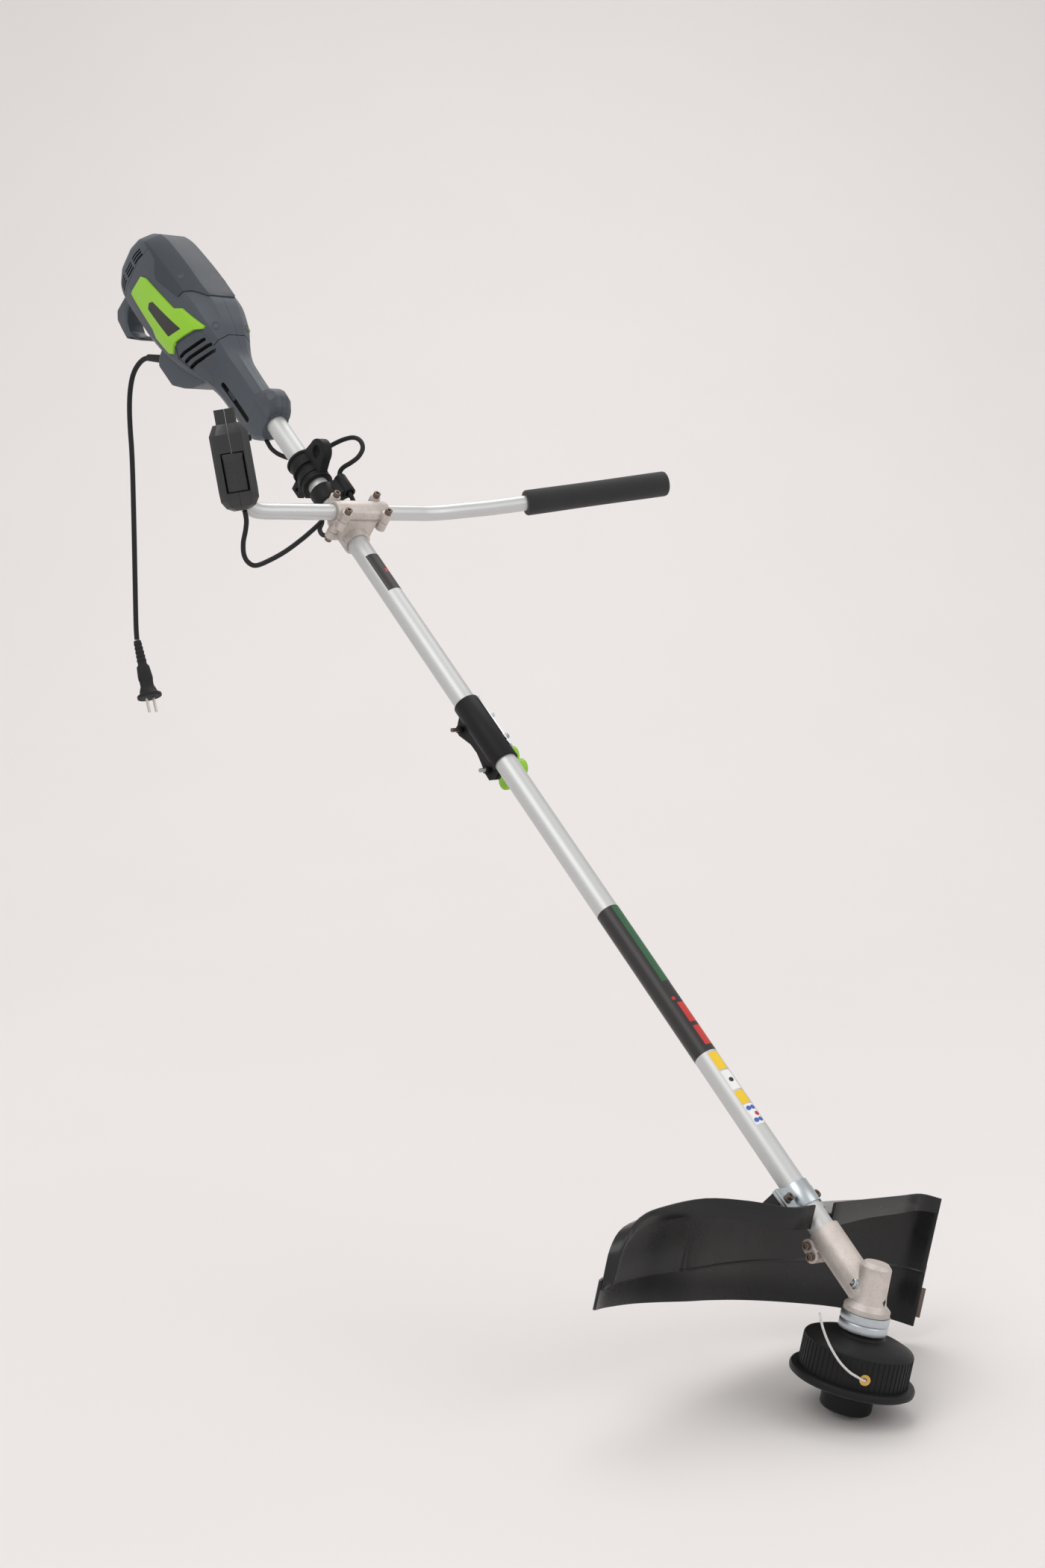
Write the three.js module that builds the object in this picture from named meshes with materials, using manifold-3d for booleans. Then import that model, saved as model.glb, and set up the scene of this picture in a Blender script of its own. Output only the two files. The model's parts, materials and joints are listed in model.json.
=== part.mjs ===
// Electric string trimmer with a split shaft and a bicycle-style handlebar.
// Millimetres, +Z up, +X to the operator's right, +Y forward. The origin is the middle of the harness eye,
// where the trimmer hangs from its strap with the shaft pitched down towards the cutting head.
import * as THREE from 'three';
import { mergeVertices } from 'three/addons/utils/BufferGeometryUtils.js';
import Module from 'manifold-3d';

const wasm = await Module();
wasm.setup();

// ---------------------------------------------------------------- driving dimensions
const PITCH = 41.8; // shaft below level, degrees
const ROLL = -13.3; // lower assembly turned about the shaft, degrees
const GAP = 0.3; // clearance between touching pieces
const EYE_HEIGHT = 34.5; // harness eye above the shaft axis
const TUBE_R = 13;
const TUBE_BORE = 11.4;
const CLAMP_BORE = TUBE_R + GAP;
const TUBE_REAR = -200;
const TUBE_SPLIT = 452; // where the upper and lower tubes meet inside the coupler
const TUBE_FRONT = 1176;
const OUTPUT_Y = 1218; // where the output axis crosses the shaft axis
const OUTPUT_TILT = 125.3; // turns +Y onto the upward output axis, degrees
const HOUSING_REAR = -425;
const HOUSING_FRONT = -75;
const HOUSING_WALL = 3;
const BAR_Y = 106; // handlebar axis along the shaft
const BAR_Z = 29; // handlebar axis above the shaft axis
const BAR_R = 9.7;
const FOAM_R = 16;
const COUPLER_START = 405;
const COUPLER_END = 497;
const COUPLER_R = 15.6;
const COUPLER_BOLT_Z = -21.5;
const HEAD_R = 53.5;
const HEAD_TOP = -45; // heights along the output axis from where it crosses the shaft
const HEAD_BOTTOM = -77;
const FLANGE_R = 61.5;
const KNOB_R = 25.5;
const CORD_R = 3.5;
const LEAD_R = 2.9;

// ---------------------------------------------------------------- finishes
const finish = (color, roughness, metalness = 0) =>
  new THREE.MeshStandardMaterial({ color, roughness, metalness });
const GREY_SHELL = finish(0x5d656e, 0.5);
const GREEN = finish(0x86c91c, 0.4);
const BLACK = finish(0x1d1d1e, 0.45);
const RUBBER = finish(0x161617, 0.75);
const FOAM = finish(0x1b1b1c, 0.95);
const TUBE_METAL = finish(0xd6d8d8, 0.35, 0.8);
const CAST = finish(0xb9b2ab, 0.5, 0.8);
const ZINC = finish(0xc4ccd0, 0.25, 1);
const STEEL = finish(0x8d8f92, 0.3, 1);
const DARK_BOLT = finish(0x6b5a52, 0.35, 0.9);
const COPPER = finish(0xa8643a, 0.4, 0.9);
const BRASS = finish(0xc99a3a, 0.3, 1);
const NYLON = finish(0xe8e6e0, 0.3);

// ---------------------------------------------------------------- groups
const trimmer = new THREE.Group();
const tool = new THREE.Group(); // +Y down the shaft, +Z square to it and up
tool.rotation.x = THREE.MathUtils.degToRad(-PITCH);
trimmer.add(tool);
const shaft = new THREE.Group(); // the same directions, with the shaft axis as its Y axis
shaft.position.z = -EYE_HEIGHT;
tool.add(shaft);
const lower = new THREE.Group(); // everything on the lower tube, turned about the shaft
lower.rotation.y = THREE.MathUtils.degToRad(ROLL);
shaft.add(lower);
const output = new THREE.Group(); // +Y up the output axis, +Z back towards the operator
output.position.y = OUTPUT_Y;
output.rotation.x = THREE.MathUtils.degToRad(OUTPUT_TILT);
lower.add(output);

// ---------------------------------------------------------------- solid helpers
function solid(geometry) {
  const bare = geometry.clone();
  for (const name of ['normal', 'uv']) bare.deleteAttribute(name);
  const merged = mergeVertices(bare, 1e-4);
  const vertProperties = new Float32Array(merged.attributes.position.array);
  const triVerts = new Uint32Array(merged.index.array);
  const at = (i) => new THREE.Vector3().fromArray(vertProperties, 3 * i);
  let volume = 0;
  for (let i = 0; i < triVerts.length; i += 3) {
    volume += at(triVerts[i]).dot(at(triVerts[i + 1]).cross(at(triVerts[i + 2])));
  }
  if (volume < 0) triVerts.reverse();
  return new wasm.Manifold(new wasm.Mesh({ numProp: 3, vertProperties, triVerts }));
}

function meshed(manifold) {
  const { vertProperties, triVerts } = manifold.getMesh();
  const geometry = new THREE.BufferGeometry();
  geometry.setAttribute('position', new THREE.BufferAttribute(vertProperties, 3));
  geometry.setIndex(new THREE.BufferAttribute(triVerts, 1));
  geometry.computeVertexNormals();
  return geometry;
}

function add(parent, name, manifold, material, place = () => {}) {
  const mesh = new THREE.Mesh(meshed(manifold), material);
  mesh.name = name;
  place(mesh);
  parent.add(mesh);
  return mesh;
}

const union = (...solids) => solids.reduce((a, b) => a.add(b));
const cut = (body, ...tools) => tools.reduce((a, b) => a.subtract(b), body);

function moved(geometry, { at = [0, 0, 0], turn = [0, 0, 0] } = {}) {
  const turns = new THREE.Euler(...turn.map(THREE.MathUtils.degToRad));
  const matrix = new THREE.Matrix4().makeRotationFromEuler(turns).setPosition(...at);
  return geometry.applyMatrix4(matrix);
}

const box = (size, where) => solid(moved(new THREE.BoxGeometry(...size), where));
const rod = (r, length, sides, where, tip = r) =>
  solid(moved(new THREE.CylinderGeometry(tip, r, length, sides), where));

// A turned piece about Y from [radius, y] pairs; a profile that stays off the axis is closed on itself.
function turned(profile, sides, where = {}) {
  const points = profile.map(([r, y]) => new THREE.Vector2(r, y));
  if (profile.every(([r]) => r > 0)) points.push(points[0].clone());
  return solid(moved(new THREE.LatheGeometry(points, sides), where));
}
const sleeve = (outer, inner, y0, y1, sides) =>
  turned([[inner, y0], [outer, y0], [outer, y1], [inner, y1]], sides);

// A solid skinned over closed rings with equal numbers of points, with flat ends.
function loft(rings) {
  const count = rings[0].length;
  const positions = rings.flat().flatMap((p) => [p.x, p.y, p.z]);
  const index = [];
  for (let r = 0; r + 1 < rings.length; r++) {
    for (let i = 0; i < count; i++) {
      const a = r * count + i;
      const b = r * count + (i + 1) % count;
      index.push(a, b, b + count, a, b + count, a + count);
    }
  }
  const capOf = (ring, offset, flip) => {
    const normal = new THREE.Vector3();
    ring.forEach((p, i) => normal.add(p.clone().cross(ring[(i + 1) % count])));
    normal.normalize();
    const u = ring[1].clone().sub(ring[0]).normalize();
    const v = normal.clone().cross(u);
    const flat = ring.map((p) => new THREE.Vector2(p.dot(u), p.dot(v)));
    for (const [a, b, c] of THREE.ShapeUtils.triangulateShape(flat, [])) {
      index.push(...(flip ? [offset + c, offset + b, offset + a] : [offset + a, offset + b, offset + c]));
    }
  };
  capOf(rings[0], 0, true);
  capOf(rings.at(-1), (rings.length - 1) * count, false);
  const geometry = new THREE.BufferGeometry();
  geometry.setAttribute('position', new THREE.Float32BufferAttribute(positions, 3));
  geometry.setIndex(index);
  return solid(geometry);
}

// A plate cut to an outline given in the Y-Z plane, between two values of X.
function sidePlate(outline, x0, x1, bevel = 0) {
  const shape = new THREE.Shape(outline.map(([y, z]) => new THREE.Vector2(y, z)));
  const depth = x1 - x0 - 2 * bevel;
  const options = {
    depth,
    bevelEnabled: bevel > 0,
    bevelThickness: bevel,
    bevelSize: bevel,
    bevelOffset: -bevel,
    bevelSegments: 1,
    curveSegments: 8,
  };
  const geometry = new THREE.ExtrudeGeometry(shape, options).translate(0, 0, x0 + bevel);
  geometry.applyMatrix4(new THREE.Matrix4().set(0, 0, 1, 0, 1, 0, 0, 0, 0, 1, 0, 0, 0, 0, 0, 1));
  return solid(geometry);
}

// A round bar along a smooth curve through the points.
function alongCurve(points, radius, sides, steps, tension = 0.5) {
  const corners = points.map((p) => new THREE.Vector3(...p));
  const path = new THREE.CatmullRomCurve3(corners, false, 'catmullrom', tension);
  const section = new THREE.Shape();
  for (let i = 0; i < sides; i++) {
    const angle = (2 * Math.PI * i) / sides;
    const spot = [radius * Math.cos(angle), radius * Math.sin(angle)];
    if (i === 0) section.moveTo(...spot);
    else section.lineTo(...spot);
  }
  section.closePath();
  return solid(new THREE.ExtrudeGeometry(section, { steps, extrudePath: path }));
}

// A socket-head screw: head top at y = 0, shank running down to -length.
const socketScrew = (headR, headHeight, shankR, length) => cut(
  turned([[0, 0], [headR, 0], [headR, -headHeight], [shankR, -headHeight], [shankR, -length],
    [0, -length]], 14),
  rod(headR * 0.55, headHeight, 6, { at: [0, 0, 0] }),
);

// ---------------------------------------------------------------- motor housing
// Stations along the shaft: [y, half width, top, bottom].
const BODY = [
  [-470, 29, 10, -52], [-466, 36, 17, -61], [-456, 42, 26, -70], [-440, 46, 35, -76], [-422, 47.5, 40, -78],
  [-395, 49, 43, -78], [-360, 49, 45, -77.5], [-325, 48.5, 45, -73], [-295, 46.5, 46, -68],
    [-270, 42, 41, -62],
  [-250, 36, 36, -56], [-232, 29, 28.5, -50.5], [-214, 23, 22, -46.5], [-195, 19.5, 19.5, -45],
  [-160, 18, 18.5, -44.5], [-125, 18, 18.3, -43.5], [-105, 18, 18, -40.5], [-90, 17.6, 17.6, -34],
  [-75, 16.8, 16.8, -24],
];
const RING_POINTS = 20;
const SQUARENESS = 2.7; // 2 is an ellipse; more is closer to a rounded rectangle

function bodyRing([y, half, top, bottom], grow) {
  const middle = (top + bottom) / 2;
  const high = (top - bottom) / 2 + grow;
  const bulge = (value) => Math.sign(value) * Math.abs(value) ** (2 / SQUARENESS);
  return Array.from({ length: RING_POINTS }, (_, i) => {
    const angle = (2 * Math.PI * (i + 0.5)) / RING_POINTS;
    const x = (half + grow) * bulge(Math.cos(angle));
    return new THREE.Vector3(x, y, middle + high * bulge(Math.sin(angle)));
  });
}

function stationAt(y) {
  const next = BODY.findIndex((station) => station[0] >= y);
  if (next <= 0) return [y, ...BODY[0].slice(1)];
  const [a, b] = [BODY[next - 1], BODY[next]];
  const t = (y - a[0]) / (b[0] - a[0]);
  return [y, ...[1, 2, 3].map((k) => a[k] + t * (b[k] - a[k]))];
}

function bodySolid(y0, y1, grow) {
  const inside = BODY.filter(([y]) => y > y0 + 1 && y < y1 - 1);
  return loft([stationAt(y0), ...inside, stationAt(y1)].map((station) => bodyRing(station, grow)));
}

const VENT_TILT = -26;
const ventSlots = (side) => [[-262, -14], [-251.5, -13.6], [-241.5, -14.5]].map(([y, z]) =>
  box([24, 4.6, 56], { at: [side * 38, y, z], turn: [VENT_TILT, 0, 0] }));
const rearSlots = (side) => [-442, -436.5, -431].flatMap((y) => [-44, -21, 2].map((z) =>
  box([22, 3, 18], { at: [side * 41, y + (z + 21) * 0.1, z] })));

const FOOT = [[-342, -60], [-338, -90], [-331, -97], [-290, -96], [-265, -81], [-249, -68], [-232, -46],
  [-232, -30], [-342, -30]];
const COLLAR = [[-154, 22], [-146, 31], [-134, 36], [-112, 36], [-98, 30], [-89, 18]];
const collarRing = ([y, top], half) => [
  [half, 6], [half, top - 7], [half - 8, top], [8 - half, top], [-half, top - 7],
  [-half, 6]].map(([x, z]) => new THREE.Vector3(x, y, z));

const shellOuter = union(
  bodySolid(HOUSING_REAR, HOUSING_FRONT, 0),
  sidePlate(FOOT, -21, 21, 3),
  loft(COLLAR.map((station) => collarRing(station, 16.5))),
);
const LEAD_ENTRY = [[-14, -55, -22], [-6, -70, -29], [-2, -84, -31.5], [0, -94, -29.5], [1, -103, -27],
  [2, -113, -25]];
const FOOT_INSIDE = [[-339, -50], [-335, -88], [-330, -93], [-291, -92.5], [-268, -78], [-252, -65],
  [-240, -50]];
const shells = cut(
  shellOuter,
  bodySolid(HOUSING_REAR - 1, -214, -HOUSING_WALL),
  sidePlate(FOOT_INSIDE, -17, 17),
  rod(CLAMP_BORE, 160, 32, { at: [0, -140, 0] }),
  box([18, 62, 14], { at: [0, -180, -31] }),
  alongCurve(LEAD_ENTRY, LEAD_R + 2 * GAP, 10, 10),
  ...ventSlots(1),
  ...ventSlots(-1),
);
const half = (side) => box([80, 400, 220], { at: [side * (40 + GAP / 2), -250, -20] });
// A long shallow switch slot is cut through each side of the neck.
const neckSlot = (side) => box([10, 72, 4.6], { at: [side * 17.5, -163.5, -20] });
for (const [name, side] of [['housing_right', 1], ['housing_left', -1]]) {
  add(shaft, name, cut(shells.intersect(half(side)), neckSlot(side)), GREY_SHELL);
}

// The vented rear cover carries the cord hook loop under the motor.
const LOOP = [[-464, -58], [-471, -95], [-474, -113], [-465, -123], [-448, -125.5], [-430, -127],
  [-400, -107], [-360, -81.5], [-376, -79.6], [-392, -92], [-412, -107], [-428, -113.5], [-442, -108],
  [-452, -96], [-451, -80], [-450, -68]];
const rearCover = cut(
  union(bodySolid(-470, HOUSING_REAR - GAP, 0), sidePlate(LOOP, -13, 13, 2)),
  bodySolid(-466.5, HOUSING_REAR + 1, -HOUSING_WALL),
  ...rearSlots(1),
  ...rearSlots(-1),
);
add(shaft, 'rear_cover', rearCover, GREY_SHELL);

const PANEL = [[-402.2, -7.3], [-392, -2], [-314.3, 8.2], [-302.3, 17.7], [-259.7, 23], [-259.1, 19.1],
  [-267, 11.6], [-277.5, -6.4], [-285.6, -22.9], [-285.6, -31.1], [-284.3, -41.5], [-292.3, -46.6],
  [-324.8, -47.7], [-336.3, -41.9], [-405.4, -37.2], [-406.4, -33.4]];
for (const [name, side] of [['side_panel_right', 1], ['side_panel_left', -1]]) {
  const [x0, x1] = side > 0 ? [20, 60] : [-60, -20];
  const panel = sidePlate(PANEL, x0, x1).intersect(bodySolid(HOUSING_REAR, HOUSING_FRONT, 3));
  add(shaft, name, panel.subtract(bodySolid(HOUSING_REAR - 5, HOUSING_FRONT, GAP)), GREEN);
}

// ---------------------------------------------------------------- motor and upper drive shaft
const poles = cut(
  sleeve(36, 24, -402, -334, 24),
  ...[0, 90].map((turn) => box([14, 72, 90], { at: [0, -368, 0], turn: [0, turn, 0] })),
);
add(shaft, 'stator', union(poles, sleeve(37.5, 33, -402, -334, 24)), STEEL);
const armature = turned([[0, -456], [4, -456], [4, -440], [12, -440], [12, -418], [6, -418], [6, -408],
  [19, -404], [21.5, -398], [21.5, -338], [19, -333], [6, -330], [4, -328], [4, -246], [0, -246]], 18);
add(shaft, 'armature', armature, COPPER);
const fan = union(
  turned([[4.4, -322], [10, -322], [10, -308], [34, -306], [34, -303], [4.4, -303]], 20),
  ...Array.from({ length: 8 }, (_, i) => solid(new THREE.BoxGeometry(23, 12, 1.6).translate(19.5, -311, 0)
    .rotateY((Math.PI * (i + 0.5)) / 4))),
);
add(shaft, 'motor_fan', fan, BLACK);
const upperDrive = cut(
  turned([[0, -268], [8, -268], [8, -238], [4, -234], [4, 420], [7, 424], [7, 450], [0, 450]], 16),
  rod(4.4, 24, 16, { at: [0, -258, 0] }),
  rod(4.2, 26, 4, { at: [0, 440, 0] }),
);
add(shaft, 'upper_drive_shaft', upperDrive, STEEL);

// ---------------------------------------------------------------- tubes
add(shaft, 'upper_tube', sleeve(TUBE_R, TUBE_BORE, TUBE_REAR, TUBE_SPLIT - GAP, 28), TUBE_METAL);
add(lower, 'lower_tube', sleeve(TUBE_R, TUBE_BORE, TUBE_SPLIT, TUBE_FRONT, 28), TUBE_METAL);

// ---------------------------------------------------------------- harness clamp
const EYE_PLATE = new THREE.Shape();
EYE_PLATE.moveTo(-23, 10);
EYE_PLATE.lineTo(23, 10);
EYE_PLATE.lineTo(16, EYE_HEIGHT);
EYE_PLATE.absarc(0, EYE_HEIGHT, 16, 0, Math.PI, false);
EYE_PLATE.closePath();
EYE_PLATE.holes.push(new THREE.Path().absarc(0, EYE_HEIGHT, 8, 0, 2 * Math.PI, true));
const eyeOptions = { depth: 12, bevelEnabled: false, curveSegments: 9 };
const eyeGeometry = new THREE.ExtrudeGeometry(EYE_PLATE, eyeOptions);
eyeGeometry.translate(0, 0, -6);
eyeGeometry.applyMatrix4(new THREE.Matrix4().set(0, 0, 1, 0, 1, 0, 0, 0, 0, 1, 0, 0, 0, 0, 0, 1));
const clampRing = turned([[12, -23], [18.6, -23], [18.6, -3.5], [16.6, -2.5], [16.6, 2.5], [18.6, 3.5],
  [18.6, 23], [12, 23]], 28);
const harnessClamp = cut(
  union(clampRing, solid(eyeGeometry), box([20, 18, 20], { at: [0, 3, -20] })),
  rod(CLAMP_BORE, 60, 32, { at: [0, 0, 0] }),
  box([2.4, 60, 24], { at: [0, 0, -24] }),
  rod(2.6, 40, 12, { at: [0, 3, -24], turn: [0, 0, 90] }),
);
add(shaft, 'harness_clamp', harnessClamp, BLACK);

// ---------------------------------------------------------------- cable clip
const CLIP_X = -18;
const CLIP_Z = 20;
const cableClip = cut(
  union(
    rod(16.6, 24, 28, { at: [0, 46, 0] }),
    rod(8, 28, 20, { at: [CLIP_X, 46, CLIP_Z] }),
    box([14, 24, 15], { at: [-11, 46, 12], turn: [0, 42, 0] }),
  ),
  rod(CLAMP_BORE, 40, 32, { at: [0, 46, 0] }),
  rod(5, 40, 16, { at: [CLIP_X, 46, CLIP_Z] }),
);
add(shaft, 'cable_clip', cableClip, BLACK);

// ---------------------------------------------------------------- handlebar clamp
const LUG_X = 30;
const LUG_Y = 15.5;
const CLAMP_HALF = 38;
const barBore = rod(BAR_R + GAP, 120, 28, { at: [0, BAR_Y, BAR_Z], turn: [0, 0, 90] });
const tubeBore = rod(CLAMP_BORE, 90, 32, { at: [0, BAR_Y, 0] });
const lugs = (z0, z1, r) => [-1, 1].flatMap((sx) => [-1, 1].map((sy) =>
  rod(r, z1 - z0, 10, { at: [sx * LUG_X, BAR_Y + sy * LUG_Y, (z0 + z1) / 2], turn: [90, 0, 0] })));
const capLug = (z0, z1, r) => [-1, 1].map((sx) =>
  rod(r, z1 - z0, 10, { at: [sx * 23.5, BAR_Y, (z0 + z1) / 2], turn: [90, 0, 0] }));
const above = (z) => box([120, 120, 80], { at: [0, BAR_Y, z + 40] });
const below = (z) => box([120, 120, 80], { at: [0, BAR_Y, z - 40] });
const clampBlock = union(
  rod(14, 2 * CLAMP_HALF, 20, { at: [0, BAR_Y, BAR_Z], turn: [0, 0, 90] }),
  box([42, 32, 26], { at: [0, BAR_Y, 14] }),
  rod(17, 48, 24, { at: [0, BAR_Y, 0] }),
  box([52, 13, 20], { at: [0, BAR_Y, 0] }),
  ...lugs(17, 41, 6.4),
  ...capLug(-10, 14, 6.6),
);
const bareBlock = cut(clampBlock, barBore, tubeBore, ...lugs(10, 60, 2.9), ...capLug(-40, 11, 2.9));
add(shaft, 'clamp_base', bareBlock.intersect(above(GAP)).intersect(below(BAR_Z - GAP)), CAST);
add(shaft, 'bar_cap', bareBlock.intersect(above(BAR_Z + GAP)), CAST);
add(shaft, 'tube_cap', bareBlock.intersect(below(-GAP)), CAST);
let boltNumber = 1;
for (const sx of [-1, 1]) {
  for (const sy of [-1, 1]) {
    add(shaft, `bar_cap_bolt_${boltNumber}`, socketScrew(4.3, 5.5, 2.5, 29), DARK_BOLT, (mesh) => {
      mesh.position.set(sx * LUG_X, BAR_Y + sy * LUG_Y, 41 + GAP + 5.5);
      mesh.rotation.x = Math.PI / 2;
    });
    boltNumber += 1;
  }
}
for (const [index, sx] of [-1, 1].entries()) {
  add(shaft, `tube_cap_bolt_${index + 1}`, socketScrew(4.3, 5.5, 2.5, 25), DARK_BOLT, (mesh) => {
    mesh.position.set(sx * 23.5, BAR_Y, -10 - GAP - 5.5);
    mesh.rotation.x = -Math.PI / 2;
  });
}

// ---------------------------------------------------------------- handlebar and grips
const LEFT_ARM = [[-398, BAR_Y + 55.5, 130], [-320, BAR_Y + 40, 100.5], [-234, BAR_Y + 22.8, 68],
  [-192, BAR_Y + 14, 52], [-160, BAR_Y + 7, 41]];
const RIGHT_BEND = [[110, BAR_Y, BAR_Z], [136, BAR_Y, BAR_Z], [151, BAR_Y - 1.4, 30.4],
  [162, BAR_Y - 5.5, 34.8], [169, BAR_Y - 11.5, 41.5], [173.5, BAR_Y - 18, 48.8], [178, BAR_Y - 30, 62]];
const MIDDLE = [[-130, BAR_Y + 1.5, 32], [-105, BAR_Y, BAR_Z], [-80, BAR_Y, BAR_Z], [0, BAR_Y, BAR_Z],
  [60, BAR_Y, BAR_Z]];
const handlebar = alongCurve([...LEFT_ARM, ...MIDDLE, ...RIGHT_BEND], BAR_R, 14, 46);
add(shaft, 'handlebar', handlebar, TUBE_METAL);
const foamAxis = new THREE.LineCurve3(new THREE.Vector3(-232, BAR_Y + 22.4, 67.3),
  new THREE.Vector3(-410, BAR_Y + 58, 134.4));
const foamSection = new THREE.Shape();
foamSection.absarc(0, 0, FOAM_R, 0, 2 * Math.PI, false);
const foamOptions = { steps: 1, curveSegments: 8, extrudePath: foamAxis };
const foam = solid(new THREE.ExtrudeGeometry(foamSection, foamOptions));
add(shaft, 'foam_grip', foam.subtract(alongCurve(LEFT_ARM, BAR_R + 1, 16, 12)), FOAM);

// The throttle handle stands on the bar's turned-up end, facing forward and outward.
const throttle = new THREE.Group();
throttle.position.set(181, 80, -22);
throttle.rotation.order = 'ZYX';
throttle.rotation.z = THREE.MathUtils.degToRad(-33.8);
throttle.rotation.y = THREE.MathUtils.degToRad(9.6);
trimmer.add(throttle);
// Stations up the handle: [height, half width, front, back, corner].
const HANDLE = [[-53, 9, 10, -9, 4], [-49, 17, 15, -15, 6], [-41, 22, 18, -18, 7], [-30, 22.5, 19, -19, 7],
  [30, 22.5, 19, -19, 7], [34, 22.4, 19, -19, 7], [46, 16, 15, -16, 5]];
const handleRing = ([z, w, front, back, c]) => [
  [w, front - c], [w - c, front], [c - w, front], [-w, front - c],
  [-w, back + c], [c - w, back], [w - c, back], [w, back + c]].map(([x, y]) => new THREE.Vector3(x, y, z));
const TOP_BLOCK = [[44, 12, 10, -10, 2], [63, 12, 10, -10, 2]];
const triggerWindow = box([27, 18, 46], { at: [0, 14, -10] });
throttle.updateMatrixWorld(true);
tool.updateMatrixWorld(true);
const shaftToHandle = throttle.matrixWorld.clone().invert().multiply(shaft.matrixWorld);
const barWay = alongCurve([...RIGHT_BEND, [179, BAR_Y - 33, 65.3]], BAR_R + 2 * GAP, 16, 16);
const BUTTON_Z = 27;
const handleShell = cut(
  union(loft(HANDLE.map(handleRing)), loft(TOP_BLOCK.map(handleRing))),
  triggerWindow,
  solid(meshed(barWay).applyMatrix4(shaftToHandle)),
  rod(4.3, 14, 16, { at: [-20, 2, BUTTON_Z], turn: [0, 0, 90] }),
);
for (const [name, side] of [['throttle_case_right', 1], ['throttle_case_left', -1]]) {
  const halfSpace = box([40, 60, 140], { at: [side * (20 + GAP / 2), 0, 0] });
  add(throttle, name, handleShell.intersect(halfSpace), BLACK);
}
const TRIGGER_FACE = [[10.5, -31.5], [15.5, -31.5], [14.8, 3], [18, 8], [18, 11.5], [10.5, 11.5]];
add(throttle, 'throttle_trigger', sidePlate(TRIGGER_FACE, -12.6, 12.6, 1.2), BLACK);
const lockButton = turned([[0, 0], [3.4, 0], [3.9, -1.2], [3.9, -9], [0, -9]], 16);
add(throttle, 'lock_button', lockButton, BLACK, (mesh) => {
  mesh.position.set(-25.5, 2, BUTTON_Z);
  mesh.rotation.z = Math.PI / 2;
});

// ---------------------------------------------------------------- coupler
const FLANGES = [[COUPLER_START + 2, -8], [COUPLER_START + 12, -30], [424, -31.5], [434, -28], [446, -24],
  [460, -23.5], [474, -27], [484, -30.5], [496, -31], [499, -27], [COUPLER_END, -8]];
const couplerShell = cut(
  union(sleeve(COUPLER_R, 12, COUPLER_START, COUPLER_END, 32), sidePlate(FLANGES, -6, 6)),
  rod(CLAMP_BORE, 140, 32, { at: [0, 450, 0] }),
  box([2.6, 120, 24], { at: [0, 450, -23] }),
  ...[424, 488].map((y) => rod(3, 40, 12, { at: [0, y, COUPLER_BOLT_Z], turn: [0, 0, 90] })),
  rod(4.3, 14, 14, { at: [-10.5, 470, 12], turn: [0, -41, 0] }),
);
const pinWay = rod(3.8, 16, 14, { at: [-10, 470, 11.5], turn: [90, -41, 0] });
add(shaft, 'coupler_sleeve', couplerShell.subtract(pinWay), BLACK);
const couplerBolt = union(
  turned([[0, 22], [2.4, 22], [2.4, -8], [4.6, -8], [4.6, -12], [0, -12]], 14),
  rod(4.8, 4.2, 6, { at: [0, 10.6, 0] }),
);
add(shaft, 'coupler_bolt', couplerBolt, DARK_BOLT, (mesh) => {
  mesh.position.set(0, 424, COUPLER_BOLT_Z);
  mesh.rotation.z = -Math.PI / 2;
});
// The clamp knob: a lobed hand wheel moulded on its screw.
const lobes = Array.from({ length: 4 }, (_, i) => {
  const angle = (Math.PI * (i + 0.5)) / 2;
  return rod(11, 14, 16, { at: [14 * Math.cos(angle), -23.5, 14 * Math.sin(angle)] });
});
const clampKnob = union(
  turned([[0, 20], [2.4, 20], [2.4, -7], [6.4, -7], [6.4, -12], [9.5, -17], [9.5, -32.5], [8, -33.5],
    [0, -33.5]], 16),
  rod(4.8, 4.2, 6, { at: [0, 10.6, 0] }),
  ...lobes,
);
add(shaft, 'clamp_knob', clampKnob, GREEN, (mesh) => {
  mesh.position.set(0, 488, COUPLER_BOLT_Z);
  mesh.rotation.z = -Math.PI / 2;
});
const latch = new THREE.Group(); // +Y points straight out of the tube on the latch side
latch.rotation.set(Math.PI / 2, 0, 0);
const latchTurn = new THREE.Group();
latchTurn.rotation.y = THREE.MathUtils.degToRad(-41);
latchTurn.add(latch);
shaft.add(latchTurn);
// Inside this group Z runs back up the shaft, so a point y along the shaft sits at -y.
const latchStrip = cut(
  union(
    box([9, 1, 76], { at: [0, COUPLER_R + GAP + 0.6, -445] }),
    turned([[0, 20.5], [2.6, 19.6], [3.8, 17.6], [3.8, 16.2], [0, 16.2]], 16, { at: [0, 0, -436] }),
  ),
  rod(3.9, 8, 14, { at: [0, 17, -470] }),
);
add(latch, 'latch_strip', latchStrip, ZINC);
const latchPin = turned([[0, 20.6], [2, 20.2], [3.4, 19], [3.4, 13.4], [0, 13.4]], 16, { at: [0, 0, -470] });
add(latch, 'latch_pin', latchPin, STEEL);

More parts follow.
